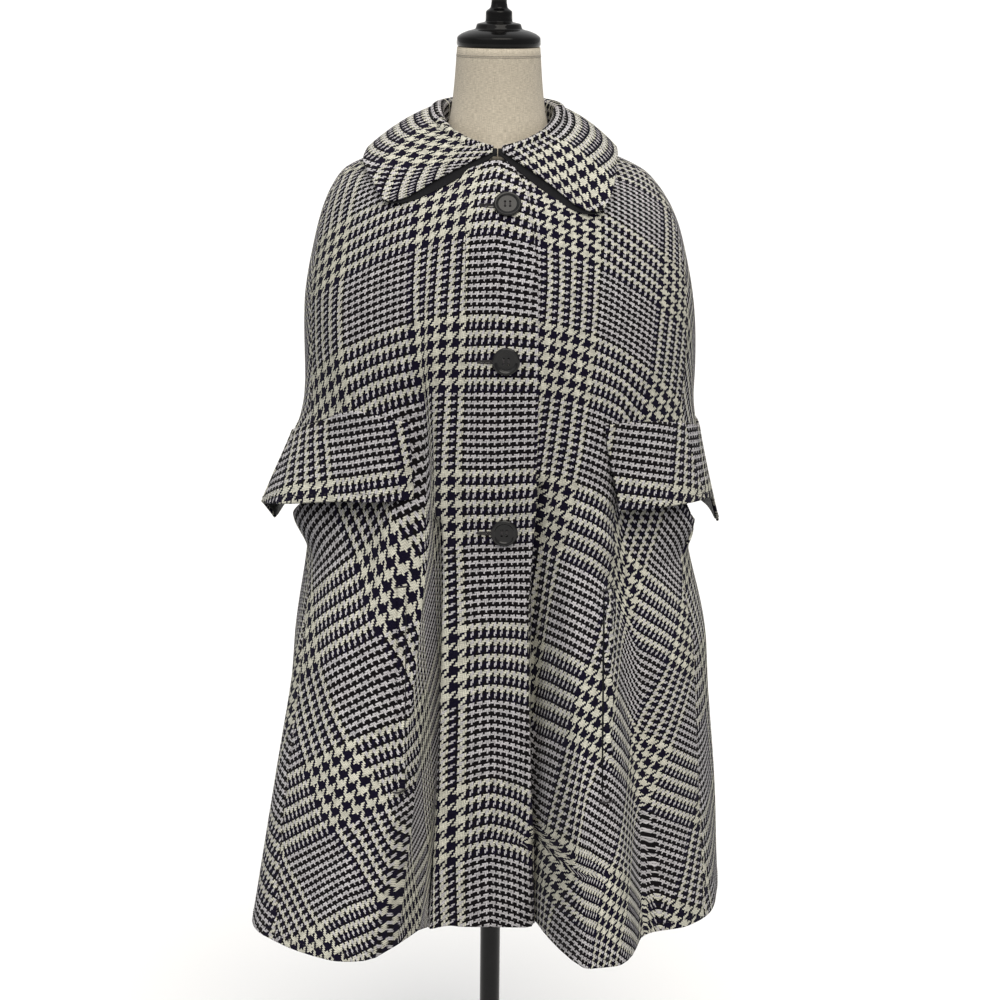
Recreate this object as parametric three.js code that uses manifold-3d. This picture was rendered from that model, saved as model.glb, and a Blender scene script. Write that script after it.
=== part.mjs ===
// A checked wool poncho coat on a limbless dress form with a black stand.
// Millimetres, Z up. The coat faces -Y, and the wearer's right is at -X.
// Angles go round the stand's axis in degrees: 0 is straight ahead, positive toward +X.
import * as THREE from "three";
import { mergeVertices } from "three/addons/utils/BufferGeometryUtils.js";
import Module from "manifold-3d";

const wasm = await Module();
wasm.setup();

const DEGREE = Math.PI / 180;

// Cloth and clearances
const CLOTH = 3;
const THIN_CLOTH = 1.6;
const SEAM_GAP = 0.3;
const SEAM_SPARE = 0.06;
const LAP_LIFT = CLOTH + 0.75;

// Main levels, at the front: neck seam, top of the arm slits, free corner and top of the side
// seams below them, and hem.
const NECK_HEIGHT = 1278;
const SLIT_HEIGHT = 1000;
const EAR_HEIGHT = 880;
const SIDE_SEAM_TOP = 837;
const HEM_HEIGHT = 430;

// Rings of the coat: half widths toward the wearer's right and left, and depths to the front and
// back. Height is taken at the front, and the rises lift the sides and the back.
const RINGS = [
  { height: 1278, sideRise: 30, backRise: 40, right: 65, left: 65, front: 80, back: 63, power: 2.0 },
  { height: 1258, sideRise: 32, backRise: 42, right: 106, left: 104, front: 102, back: 88, power: 2.0 },
  { height: 1222, sideRise: 36, backRise: 34, right: 175, left: 170, front: 130, back: 120, power: 2.15 },
  { height: 1170, sideRise: 30, backRise: 20, right: 201, left: 205, front: 148, back: 140, power: 2.3 },
  { height: 1110, sideRise: 6, backRise: 2, right: 214, left: 221, front: 158, back: 152, power: 2.5 },
  { height: 1050, sideRise: 0, backRise: 0, right: 215, left: 224, front: 162, back: 158, power: 2.6 },
  { height: 1000, sideRise: 0, backRise: 0, right: 218, left: 226, front: 163, back: 162, power: 2.6 },
  { height: 886, sideRise: 0, backRise: 0, right: 229, left: 233, front: 166, back: 172, power: 2.6 },
  { height: 760, sideRise: 0, backRise: 0, right: 230, left: 246, front: 185, back: 182, power: 2.6 },
  { height: 600, sideRise: 0, backRise: 0, right: 242, left: 257, front: 215, back: 194, power: 2.6 },
  { height: 430, sideRise: 0, backRise: 0, right: 254, left: 271, front: 246, back: 206, power: 2.6 },
];
const RISE_POWER = 1.6;

// Soft folds. Each has a level crest or trough of half-width flat and edges that fall away
// over edge degrees. The last columns are its depth at three heights and its lean toward +angle.
const FOLDS = [
  { name: "frontPanel", top: 0, hem: -0.5, flat: 20.5, edge: 5, slit: 0, pocket: -26, low: -66, lean: 0 },
  { name: "rightRecess", top: -29, hem: -24, flat: 1, edge: 8, slit: -16, pocket: -16, low: 0, lean: 0 },
  { name: "rightLobe", top: -46, hem: -41, flat: 8, edge: 20, slit: -2, pocket: 22, low: 58, lean: 0 },
  { name: "rightSide", top: -66, hem: -62, flat: 0, edge: 14, slit: 0, pocket: 8, low: 20, lean: 0 },
  { name: "leftRecess", top: 24, hem: 19, flat: 0, edge: 6, slit: -6, pocket: -14, low: -6, lean: 0 },
  { name: "leftLobe", top: 34, hem: 28, flat: 3, edge: 9, slit: 4, pocket: 24, low: 44, lean: -26 },
  { name: "leftValley", top: 46, hem: 43, flat: 0, edge: 9, slit: -5, pocket: -12, low: -12, lean: 0 },
  { name: "leftSide", top: 62, hem: 60, flat: 0, edge: 14, slit: 0, pocket: 3, low: 6, lean: 0 },
  { name: "backLeftCrest", top: 108, hem: 112, flat: 2, edge: 15, slit: 0, pocket: 8, low: 18, lean: 0 },
  { name: "backLeftDip", top: 134, hem: 137, flat: 0, edge: 12, slit: -4, pocket: -14, low: -26, lean: 0 },
  { name: "backLeftLobe", top: 158, hem: 157, flat: 2, edge: 13, slit: 3, pocket: 12, low: 26, lean: 4 },
  { name: "backDip", top: 180, hem: 179, flat: 0, edge: 11, slit: -3, pocket: -8, low: -16, lean: 0 },
  { name: "backRightLobe", top: 203, hem: 200, flat: 2, edge: 14, slit: 3, pocket: 14, low: 28, lean: -4 },
  { name: "backRightDip", top: 226, hem: 222, flat: 0, edge: 12, slit: -4, pocket: -12, low: -24, lean: 0 },
  { name: "backRightCrest", top: 250, hem: 246, flat: 2, edge: 14, slit: 0, pocket: 8, low: 16, lean: 0 },
];
const FOLD_START = 1130;
const FOLD_SLIT = 930;
const FOLD_POCKET = 700;

// Angles of the seams between front and back, above and below the slits, and of the slits' ends.
const UPPER_SEAM = [
  { height: 1278, right: 88, left: 88 },
  { height: 1222, right: 83, left: 83 },
  { height: 1110, right: 73, left: 73 },
  { height: 1050, right: 70, left: 69 },
  { height: 1005, right: 70, left: 67 },
  { height: 970, right: 75, left: 68 },
  { height: 890, right: 77, left: 73 },
];
const LOWER_SEAM = [
  { height: 880, right: 75.5, left: 72 },
  { height: 837, right: 75, left: 70 },
  { height: 790, right: 64, left: 67 },
  { height: 700, right: 57, left: 64 },
  { height: 570, right: 52, left: 61 },
  { height: 430, right: 47, left: 58 },
];
const SLIT_LINE = [
  { height: 1278, right: 40, left: 44 },
  { height: 1000, right: 32.5, left: 38 },
  { height: 908, right: 31.5, left: 42 },
  { height: 430, right: 31, left: 42 },
];
const BACK_SLIT = 147;

// Lower edges of the cape and of the cuffs round each side, and how far the cuffs slope out.
const CAPE_FOOT = [
  { angle: 32, right: 1000, left: 1000 },
  { angle: 50, right: 1009, left: 1000 },
  { angle: 68, right: 984, left: 989 },
  { angle: 77, right: 970, left: 980 },
  { angle: 88, right: 962, left: 972 },
  { angle: 112, right: 972, left: 972 },
  { angle: 147, right: 1000, left: 1000 },
];
const CUFF_FOOT = [
  { angle: 32, right: 918, left: 908 },
  { angle: 50, right: 912, left: 908 },
  { angle: 68, right: 896, left: 903 },
  { angle: 77, right: 887, left: 894 },
  { angle: 88, right: 858, left: 856 },
  { angle: 112, right: 868, left: 866 },
  { angle: 147, right: 905, left: 905 },
];
const CUFF_SLOPE = [
  { angle: 32, right: 0.12, left: 0.12 },
  { angle: 50, right: 0.15, left: 0.14 },
  { angle: 68, right: 0.36, left: 0.15 },
  { angle: 77, right: 0.38, left: 0.16 },
  { angle: 88, right: 0.18, left: 0.17 },
  { angle: 112, right: 0.14, left: 0.15 },
  { angle: 147, right: 0.07, left: 0.07 },
];
const SLOPE_START = 1012;
const SLOPE_EASE = 40;
const SLOPE_SPAN = 7.5;
const CUFF_LEVEL = 970;
const CUFF_LAP = 4;
const CUFF_EASE = 1.5;
const LINING = 1;
const LINING_LIFT = LAP_LIFT - CLOTH - SEAM_GAP - 0.15;
const LINED_COLUMNS = 7;

// The side parts under the cuffs hang closer in, and their free corner juts out.
const TUCK = { depth: 15, span: 15, full: 860, end: 720 };
const EAR = { jut: 20, angle: 75, span: 14, start: SIDE_SEAM_TOP - 8 };

// Front overlap: distance of the overlapping edge from the coat's middle plane.
const FRONT_EDGE = [
  { height: 1278, over: 14 },
  { height: 1236, over: 34 },
  { height: 1150, over: 44 },
  { height: 1000, over: 46 },
  { height: 800, over: 38 },
  { height: 600, over: 42 },
  { height: 500, over: 46 },
  { height: 430, over: 52 },
];
const UNDER_EDGE = -24;
const LAP = { start: -52, full: -28, neckEnd: 15, neckSpan: 12 };

// Collar, from its front ends round to the centre back: its roll line and how full its fall is.
const COLLAR_ROLL = [
  { angle: 4, out: 69, height: 1292, bow: 8 },
  { angle: 22, out: 68, height: 1298, bow: 11 },
  { angle: 45, out: 66, height: 1308, bow: 12 },
  { angle: 68, out: 64, height: 1320, bow: 12 },
  { angle: 92, out: 63, height: 1332, bow: 10 },
  { angle: 125, out: 64, height: 1335, bow: 10 },
  { angle: 155, out: 66, height: 1337, bow: 11 },
  { angle: 180, out: 66, height: 1338, bow: 11 },
];
// Where the collar's outer edge lies on the coat, by the coat's own angle and level.
const COLLAR_EDGE = [
  { angle: 4, right: 44.5, left: 40 },
  { angle: 22, right: 48.5, left: 45 },
  { angle: 45, right: 58, left: 57 },
  { angle: 68, right: 72, left: 71 },
  { angle: 92, right: 90, left: 90 },
  { angle: 125, right: 122, left: 122 },
  { angle: 155, right: 152, left: 152 },
  { angle: 180, right: 180, left: 180 },
];
const COLLAR_LEVEL = [
  { angle: 4, right: 1212, left: 1204 },
  { angle: 22, right: 1216, left: 1211 },
  { angle: 45, right: 1228, left: 1231 },
  { angle: 68, right: 1236, left: 1242 },
  { angle: 92, right: 1242, left: 1246 },
  { angle: 125, right: 1239, left: 1241 },
  { angle: 155, right: 1230, left: 1231 },
  { angle: 180, right: 1226, left: 1226 },
];
const COLLAR_TIP = { rounding: 0.13, span: 14 };
const COLLAR_TURN = 5;
const COLLAR_LIFT = 7.3;
const COLLAR_FOOT_LIFT = 1;
const COLLAR_PARTING = 0.5;
const COLLAR_FRONT_SHIFT = 0.8;

// Pocket welts, by distance from the middle plane and by their ends' heights.
const WELTS = { right: -101, left: 125, top: 822, bottom: 606, width: 9, lift: 1 };

// Buttons
const BUTTON_RADIUS = 14.8;
const BUTTON_X = 11;
const BUTTONS = [
  { height: 1234, gap: 0.1 },
  { height: 1074, gap: 0.3 },
  { height: 886, gap: 0.8 },
];
const BUTTON_SECTION = [
  { inset: BUTTON_RADIUS, height: 0 },
  { inset: 2, height: 0 },
  { inset: 0, height: 1.2 },
  { inset: 0, height: 2.8 },
  { inset: 1.6, height: 4.2 },
  { inset: 3.6, height: 3.6 },
  { inset: 5, height: 2.6 },
  { inset: BUTTON_RADIUS, height: 2.4 },
];
const BUTTON_HOLE = { radius: 1.3, spacing: 2.7, depth: 12 };

// Dress form: sections of the covered body, from the neck's flat top down to its flat bottom.
const FORM = [
  { height: 1396, half: 46, front: 46, back: 46, power: 2 },
  { height: 1350, half: 49.5, front: 49.5, back: 49.5, power: 2 },
  { height: 1318, half: 54, front: 54, back: 54, power: 2 },
  { height: 1304, half: 59, front: 57, back: 56, power: 1.8 },
  { height: 1296.8, half: 76, front: 60, back: 59, power: 1.5 },
  { height: 1287.8, half: 99, front: 64, back: 66, power: 1.4 },
  { height: 1274.8, half: 128, front: 71, back: 80, power: 1.4 },
  { height: 1257.8, half: 156, front: 82, back: 92, power: 1.55 },
  { height: 1230, half: 165, front: 97, back: 100, power: 1.8 },
  { height: 1170, half: 160, front: 119, back: 104, power: 2.1 },
  { height: 1120, half: 152, front: 125, back: 98, power: 2.1 },
  { height: 1060, half: 134, front: 108, back: 88, power: 2.1 },
  { height: 1000, half: 122, front: 98, back: 84, power: 2.1 },
  { height: 930, half: 136, front: 106, back: 96, power: 2.1 },
  { height: 850, half: 160, front: 114, back: 112, power: 2.1 },
  { height: 780, half: 168, front: 115, back: 114, power: 2.1 },
  { height: 730, half: 162, front: 110, back: 108, power: 2.1 },
];

// Turned neck cap and finial, above the neck's flat top, and the round base.
const CAP = [
  { radius: 0, height: SEAM_GAP },
  { radius: 44.5, height: SEAM_GAP },
  { radius: 46.5, height: 4 },
  { radius: 46, height: 10 },
  { radius: 42, height: 14 },
  { radius: 34, height: 17.5 },
  { radius: 26, height: 20 },
  { radius: 24, height: 25 },
  { radius: 15, height: 28 },
  { radius: 14.5, height: 38 },
  { radius: 9.5, height: 43 },
  { radius: 8.5, height: 50 },
  { radius: 12.8, height: 57 },
  { radius: 12, height: 65 },
  { radius: 6, height: 71 },
  { radius: 0, height: 72.5 },
];
const BASE_TOP = 34;
const BASE = [
  { radius: 0, height: 0 },
  { radius: 170, height: 0 },
  { radius: 170, height: 10 },
  { radius: 150, height: 16 },
  { radius: 40, height: 24 },
  { radius: 30, height: BASE_TOP },
  { radius: 0, height: BASE_TOP },
];
const POLE_RADIUS = 12;

// How finely each form is cut up
const LAP_COLUMNS = 5;
const MIDDLE_COLUMNS = 8;
const MIDDLE_SHIFT = 1.2;
const SIDE_COLUMNS = 8;
const BACK_COLUMNS = 12;
const CAPE_ROWS = [0, 0.045, 0.11, 0.18, 0.26, 0.36, 0.48, 0.6, 0.72, 0.84, 0.93, 1];
const SKIRT_ROWS = steps(13);
const SKIRT_FIRST_ROW = 960;
const CUFF_ROWS = steps(5);
const LINING_ROWS = [0.2, 0.4, 0.6, 0.8, 0.97];
const COLLAR_COLUMNS = 32;
const COLLAR_ROLL_STEPS = 4;
const COLLAR_FALL_STEPS = 5;
const WELT_ROWS = 10;
const FORM_SIDES = 32;
const TURNED_SIDES = 28;
const BUTTON_SIDES = 24;
const HOLE_SIDES = 8;
const NORMAL_STEP = 0.6;
const SEARCH_ANGLE = 60;
const SEARCH_TURNS = 22;

// Shares from 0 to 1 in equal steps.
function steps(count) {
  return Array.from({ length: count + 1 }, (_, i) => i / count);
}

function mix(a, b, t) {
  return a + (b - a) * t;
}

function ease(value) {
  const t = Math.min(Math.max(value, 0), 1);
  return t * t * (3 - 2 * t);
}

// Turns any angle into the range from -180 to 180.
function wrap(angle) {
  return ((((angle + 180) % 360) + 360) % 360) - 180;
}

// The wearer's side at an angle, or for a side given as -1 or 1.
function sideName(angle) {
  return angle < 0 ? "right" : "left";
}

// Reads one column of a table whose rows are sorted by a key, on a smooth curve without overshoot.
function readTable(table, key, column, value) {
  const sign = table[0][key] < table[table.length - 1][key] ? 1 : -1;
  const last = table.length - 1;
  if (sign * (value - table[0][key]) <= 0) return table[0][column];
  if (sign * (value - table[last][key]) >= 0) return table[last][column];
  let row = 0;
  while (sign * (value - table[row + 1][key]) > 0) row += 1;
  const slope = (i, j) => (table[j][column] - table[i][column]) / (table[j][key] - table[i][key]);
  const span = table[row + 1][key] - table[row][key];
  const inner = slope(row, row + 1);
  const before = row > 0 ? slope(row - 1, row) : inner;
  const after = row + 1 < last ? slope(row + 1, row + 2) : inner;
  const start = limitedSlope(before, inner);
  const end = limitedSlope(inner, after);
  const t = (value - table[row][key]) / span;
  return mix(table[row][column], table[row + 1][column], ease(t))
    + span * t * (1 - t) * (start * (1 - t) - end * t);
}

function limitedSlope(first, second) {
  return first * second <= 0 ? 0 : (2 * first * second) / (first + second);
}

const atHeight = (table, height, side) => readTable(table, "height", sideName(side), height);
const atAngle = (table, angle) => readTable(table, "angle", sideName(angle), Math.abs(angle));

// Radius of a rounded ring with two different half widths.
function ringRadius(angle, half, depth, power) {
  const across = Math.abs(Math.sin(angle * DEGREE)) / half;
  const ahead = Math.abs(Math.cos(angle * DEGREE)) / depth;
  return (across ** power + ahead ** power) ** (-1 / power);
}

// Depth of one fold at a height: zero at its start, then through its three named depths.
function foldDepth(fold, height) {
  if (height >= FOLD_SLIT) return fold.slit * ease((FOLD_START - height) / (FOLD_START - FOLD_SLIT));
  if (height >= FOLD_POCKET) {
    return mix(fold.slit, fold.pocket, (FOLD_SLIT - height) / (FOLD_SLIT - FOLD_POCKET));
  }
  return mix(fold.pocket, fold.low, (FOLD_POCKET - height) / (FOLD_POCKET - HEM_HEIGHT));
}

// How far all the folds move a point out and aside.
function folds(angle, height) {
  let out = 0;
  let aside = 0;
  const down = (FOLD_START - height) / (FOLD_START - HEM_HEIGHT);
  for (const fold of FOLDS) {
    const centre = mix(fold.top, fold.hem, Math.min(Math.max(down, 0), 1));
    const distance = Math.abs(wrap(angle - centre));
    const depth = foldDepth(fold, height) * (1 - ease((distance - fold.flat) / fold.edge));
    out += depth;
    aside += fold.low === 0 ? 0 : (fold.lean * depth) / fold.low;
  }
  return { out, aside };
}

// How far round from the slit's end an angle lies, 0 in the joined middle of front and back.
function besideSlit(angle, span) {
  const round = Math.abs(angle);
  const limit = round > 90 ? BACK_SLIT : atHeight(SLIT_LINE, SLIT_HEIGHT, angle);
  return ease((round > 90 ? limit - round : round - limit) / span);
}

// A point of the coat's outer face. Layer is "cape" above the slits' line and "skirt" below it.
function coatPoint(angle, height, layer) {
  const round = wrap(angle);
  const isAhead = Math.abs(round) < 90;
  const half = atHeight(RINGS, height, round);
  const depth = readTable(RINGS, "height", isAhead ? "front" : "back", height);
  const power = readTable(RINGS, "height", "power", height);
  const fold = folds(round, height);
  let radius = ringRadius(round, half, depth, power) + fold.out;
  if (layer === "cape") {
    const drop = Math.max(SLOPE_START - height, 0);
    const slope = atAngle(CUFF_SLOPE, round) * besideSlit(round, SLOPE_SPAN);
    radius += (slope * drop * drop) / (drop + SLOPE_EASE);
  } else {
    radius -= TUCK.depth * besideSlit(round, TUCK.span) * ease((height - TUCK.end) / (TUCK.full - TUCK.end));
    const nearEar = Math.exp(-(((Math.abs(round) - EAR.angle) / EAR.span) ** 2));
    radius += EAR.jut * nearEar * ease((height - EAR.start) / (EAR_HEIGHT - EAR.start));
  }
  const sideRise = readTable(RINGS, "height", "sideRise", height);
  const endRise = isAhead ? 0 : readTable(RINGS, "height", "backRise", height);
  const rise = mix(sideRise, endRise, Math.abs(Math.cos(round * DEGREE)) ** RISE_POWER);
  return new THREE.Vector3(
    radius * Math.sin(round * DEGREE) + fold.aside * Math.cos(round * DEGREE),
    -radius * Math.cos(round * DEGREE) + fold.aside * Math.sin(round * DEGREE),
    height + rise,
  );
}

// Outward direction of the coat's face at a point, from small steps round and down.
function coatNormal(angle, height, layer) {
  const step = NORMAL_STEP;
  const across = coatPoint(angle + step, height, layer).sub(coatPoint(angle - step, height, layer));
  const down = coatPoint(angle, height - step, layer).sub(coatPoint(angle, height + step, layer));
  return across.cross(down).negate().normalize();
}

// A corner of a cloth sheet: a point moved out along the face's own direction, and that direction.
function coatCorner(angle, height, layer, lift = 0) {
  const normal = coatNormal(angle, height, layer);
  return { point: coatPoint(angle, height, layer).addScaledVector(normal, lift), normal };
}

// Angle at which the coat's front lies at a distance x from the middle plane.
function angleAt(x, height) {
  let low = -SEARCH_ANGLE;
  let high = SEARCH_ANGLE;
  for (let turn = 0; turn < SEARCH_TURNS; turn += 1) {
    const middle = (low + high) / 2;
    if (coatPoint(middle, height, "skirt").x < x) low = middle;
    else high = middle;
  }
  return (low + high) / 2;
}

// Collects the corners and triangles of one open cloth face, joining equal corners.
class Sheet {
  constructor() {
    this.corners = [];
    this.triangles = [];
    this.known = new Map();
  }

  corner(corner) {
    const key = corner.point.toArray().map((v) => Math.round(v * 1000)).join();
    if (!this.known.has(key)) {
      this.known.set(key, this.corners.length);
      this.corners.push(corner);
    }
    return this.known.get(key);
  }

  // Adds a grid of corners given as rows, each from lower to higher angle, top row first.
  grid(rows) {
    const ids = rows.map((row) => row.map((corner) => this.corner(corner)));
    for (let i = 0; i + 1 < ids.length; i += 1) {
      for (let j = 0; j + 1 < ids[i].length; j += 1) {
        this.triangles.push([ids[i][j], ids[i + 1][j], ids[i + 1][j + 1]]);
        this.triangles.push([ids[i][j], ids[i + 1][j + 1], ids[i][j + 1]]);
      }
    }
    return this;
  }

  // Gives the face a thickness inward and closes its free edges.
  solid(thickness) {
    const count = this.corners.length;
    const places = [];
    for (const { point } of this.corners) places.push(point.x, point.y, point.z);
    for (const { point, normal } of this.corners) {
      const inner = point.clone().addScaledVector(normal, -thickness);
      places.push(inner.x, inner.y, inner.z);
    }
    const index = [];
    const open = new Map();
    for (const [a, b, c] of this.triangles) {
      index.push(a, b, c, a + count, c + count, b + count);
      for (const [from, to] of [[a, b], [b, c], [c, a]]) {
        if (open.has(`${to},${from}`)) open.delete(`${to},${from}`);
        else open.set(`${from},${to}`, [from, to]);
      }
    }
    for (const [from, to] of open.values()) {
      index.push(from, from + count, to, to, from + count, to + count);
    }
    const geometry = new THREE.BufferGeometry();
    geometry.setAttribute("position", new THREE.Float32BufferAttribute(places, 3));
    geometry.setIndex(index);
    return geometry;
  }
}

// How far the overlapping front stands off the coat's face at a distance x from the middle.
function lapLift(x) {
  return LAP_LIFT * ease((x - LAP.start) / (LAP.full - LAP.start));
}

// Angle of a seam's edge, moved round by half of the gap that parts two sewn pieces. Toward is
// 1 for the piece behind the seam, -1 for the piece in front of it and 0 for the seam itself.
function seamAngle(table, height, side, toward) {
  const angle = atHeight(table, height, side);
  const place = coatPoint(side * angle, height, "cape");
  const half = (SEAM_GAP / 2 + SEAM_SPARE) / (Math.hypot(place.x, place.y) * DEGREE);
  return side * (angle + toward * half);
}

// Height of the cape's lower edge at a share s of the way round between two angles.
function capeFoot(side, from, to, s) {
  return atAngle(CAPE_FOOT, side * mix(from, to, s));
}

// The two fronts. Side is -1 for the wearer's right, which laps over, and +1 for the left.
function frontPanel(side) {
  const corner = (angle, height, layer) => {
    const lift = side < 0 ? lapLift(coatPoint(angle, height, layer).x) : 0;
    return coatCorner(angle, height, layer, lift);
  };
  const slit = (height) => side * atHeight(SLIT_LINE, height, side);
  const middle = (height) => {
    const under = angleAt(UNDER_EDGE, height);
    const over = angleAt(readTable(FRONT_EDGE, "height", "over", height), height);
    const [start, end] = side < 0 ? [over, under] : [under, over];
    const lap = steps(LAP_COLUMNS).map((s) => mix(start, end, s));
    const rest = steps(MIDDLE_COLUMNS).slice(1).map((s) => mix(end, slit(height), s ** MIDDLE_SHIFT));
    return [...lap, ...rest];
  };
  const row = (height, layer, seam, ownHeight) => {
    const corners = middle(height).map((angle) => corner(angle, height, layer));
    for (const s of steps(SIDE_COLUMNS).slice(1)) {
      const own = ownHeight(s);
      const angle = mix(slit(own), seamAngle(seam, own, side, -1), s);
      corners.push(corner(angle, own, layer));
    }
    return side < 0 ? corners.reverse() : corners;
  };
  const slitAngle = Math.abs(slit(SLIT_HEIGHT));
  const seamEnd = Math.abs(seamAngle(UPPER_SEAM, SLIT_HEIGHT, side, 0));
  const cape = CAPE_ROWS.map((t) => {
    const foot = (s) => capeFoot(side, slitAngle, seamEnd, s);
    return row(mix(NECK_HEIGHT, SLIT_HEIGHT, t), "cape", UPPER_SEAM, (s) => mix(NECK_HEIGHT, foot(s), t));
  });
  const levels = SKIRT_ROWS.map((t) => ({
    ahead: mix(SKIRT_FIRST_ROW, HEM_HEIGHT, t),
    atSeam: mix(SIDE_SEAM_TOP, HEM_HEIGHT, t),
  }));
  const skirt = [{ ahead: SLIT_HEIGHT, atSeam: EAR_HEIGHT }, ...levels].map(({ ahead, atSeam }) => (
    row(ahead, "skirt", LOWER_SEAM, (s) => mix(ahead, atSeam, s))
  ));
  return new Sheet().grid(cape).grid(skirt).solid(CLOTH);
}

// The back, which wraps round both sides to the fronts' seams.
function backPanel() {
  const sideShares = steps(SIDE_COLUMNS).slice(0, -1);
  const centre = steps(BACK_COLUMNS).map((s) => mix(BACK_SLIT, 360 - BACK_SLIT, s));
  const build = (rows, layer, seam, heightOf) => rows.map((t) => {
    const beside = (side) => sideShares.map((s) => {
      const own = heightOf(t, side, s);
      return coatCorner(mix(seamAngle(seam, own, side, 1), side * BACK_SLIT, s), own, layer);
    });
    const middle = centre.map((angle) => coatCorner(angle, heightOf(t, 1, 1), layer));
    return [...beside(1), ...middle, ...beside(-1).reverse()];
  });
  const capeHeight = (t, side, s) => {
    const seamEnd = Math.abs(seamAngle(UPPER_SEAM, SLIT_HEIGHT, side, 0));
    return mix(NECK_HEIGHT, capeFoot(side, seamEnd, BACK_SLIT, s), t);
  };
  const skirtHeight = (t, side, s) => mix(mix(SIDE_SEAM_TOP, SLIT_HEIGHT, s), HEM_HEIGHT, t);
  return new Sheet()
    .grid(build(CAPE_ROWS, "cape", UPPER_SEAM, capeHeight))
    .grid(build(SKIRT_ROWS, "skirt", LOWER_SEAM, skirtHeight))
    .solid(CLOTH);
}

// A cuff is sewn on over the cape's lower edge and hangs free below it. The front cuff reaches
// from the slit to the sleeve's seam and the back cuff from there to the back slit.
function cuff(side, isBack, rows, columns, lift, thickness) {
  const angleOf = (height, s) => {
    const seam = Math.abs(seamAngle(UPPER_SEAM, height, side, isBack ? 1 : -1));
    return side * (isBack ? mix(seam, BACK_SLIT, s) : mix(atHeight(SLIT_LINE, height, side), seam, s));
  };
  const grid = rows.map((t) => {
    const corners = columns.map((s) => {
      const near = angleOf(CUFF_LEVEL, s);
      const height = mix(atAngle(CAPE_FOOT, near) + CUFF_LAP, atAngle(CUFF_FOOT, near), t);
      return coatCorner(angleOf(height, s), height, "cape", lift + CUFF_EASE * t);
    });
    return side < 0 ? corners.reverse() : corners;
  });
  return new Sheet().grid(grid).solid(thickness);
}

// Collar section across: up the stand, over the roll and down the fall to the outer edge.
function collarLine(angle, side) {
  const roll = (column) => readTable(COLLAR_ROLL, "angle", column, angle);
  const round = side * angle;
  const foot = coatPoint(round, NECK_HEIGHT, "cape");
  foot.z += COLLAR_FOOT_LIFT + lapLift(foot.x) * (1 - ease((foot.x - LAP.neckEnd) / LAP.neckSpan));
  const out = new THREE.Vector3(Math.sin(round * DEGREE), -Math.cos(round * DEGREE), 0);
  const top = out.clone().multiplyScalar(roll("out")).setZ(roll("height") - COLLAR_TURN);
  const edgeAngle = side * atAngle(COLLAR_EDGE, round);
  const edge = coatCorner(edgeAngle, atAngle(COLLAR_LEVEL, round), "cape", COLLAR_LIFT).point;
  const points = [foot, foot.clone().lerp(top, 0.5), top];
  const centre = top.clone().addScaledVector(out, COLLAR_TURN);
  for (const s of steps(COLLAR_ROLL_STEPS).slice(1)) {
    const around = Math.PI * (1 - s);
    const point = centre.clone().addScaledVector(out, Math.cos(around) * COLLAR_TURN);
    points.push(point.setZ(top.z + Math.sin(around) * COLLAR_TURN));
  }
  const start = points[points.length - 1];
  const bend = start.clone().lerp(edge, 0.5);
  bend.z += roll("bow");
  const nearTip = 1 - ease((angle - COLLAR_ROLL[0].angle) / COLLAR_TIP.span);
  for (const s of steps(COLLAR_FALL_STEPS).slice(1)) {
    const t = s * (1 - COLLAR_TIP.rounding * nearTip);
    const first = start.clone().lerp(bend, t);
    points.push(first.lerp(bend.clone().lerp(edge, t), t));
  }
  return points;
}

// The collar's two layers lie on either side of one middle face, which is made from lines across
// it from one front end to the other.
function collarLayer(isTop) {
  const lines = steps(COLLAR_COLUMNS).map((t) => {
    const station = mix(1, -1, t);
    const angle = mix(180, COLLAR_ROLL[0].angle, Math.abs(station) ** COLLAR_FRONT_SHIFT);
    return collarLine(angle, station < 0 ? -1 : 1);
  });
  const lift = isTop ? THIN_CLOTH + COLLAR_PARTING / 2 : -COLLAR_PARTING / 2;
  const rows = lines[0].map((_, j) => lines.map((line, i) => {
    const before = lines[Math.max(i - 1, 0)][j];
    const after = lines[Math.min(i + 1, lines.length - 1)][j];
    const above = line[Math.max(j - 1, 0)];
    const below = line[Math.min(j + 1, line.length - 1)];
    const normal = after.clone().sub(before).cross(below.clone().sub(above)).negate().normalize();
    return { point: line[j].clone().addScaledVector(normal, lift), normal };
  }));
  return new Sheet().grid(rows).solid(THIN_CLOTH);
}

// A narrow strip that edges a pocket's opening.
function welt(x) {
  const rows = steps(WELT_ROWS).map((t) => {
    const height = mix(WELTS.top, WELTS.bottom, t);
    return [-0.5, 0, 0.5].map((across) => {
      const angle = angleAt(x + across * WELTS.width, height);
      return coatCorner(angle, height, "skirt", THIN_CLOTH + WELTS.lift);
    });
  });
  return new Sheet().grid(rows).solid(THIN_CLOTH);
}

// A closed three.js geometry as a solid that can be cut, and back.
function solidOf(geometry) {
  const plain = geometry.clone();
  plain.deleteAttribute("normal");
  plain.deleteAttribute("uv");
  const merged = mergeVertices(plain, 1e-4);
  const index = merged.getIndex().array;
  const kept = [];
  for (let i = 0; i < index.length; i += 3) {
    const [a, b, c] = index.slice(i, i + 3);
    if (a !== b && b !== c && c !== a) kept.push(a, b, c);
  }
  return new wasm.Manifold(new wasm.Mesh({
    numProp: 3,
    vertProperties: merged.getAttribute("position").array,
    triVerts: new Uint32Array(kept),
  }));
}

function geometryOf(manifold) {
  const mesh = manifold.getMesh();
  const geometry = new THREE.BufferGeometry();
  geometry.setAttribute("position", new THREE.BufferAttribute(new Float32Array(mesh.vertProperties), 3));
  geometry.setIndex(new THREE.BufferAttribute(new Uint32Array(mesh.triVerts), 1));
  return geometry;
}

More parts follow.
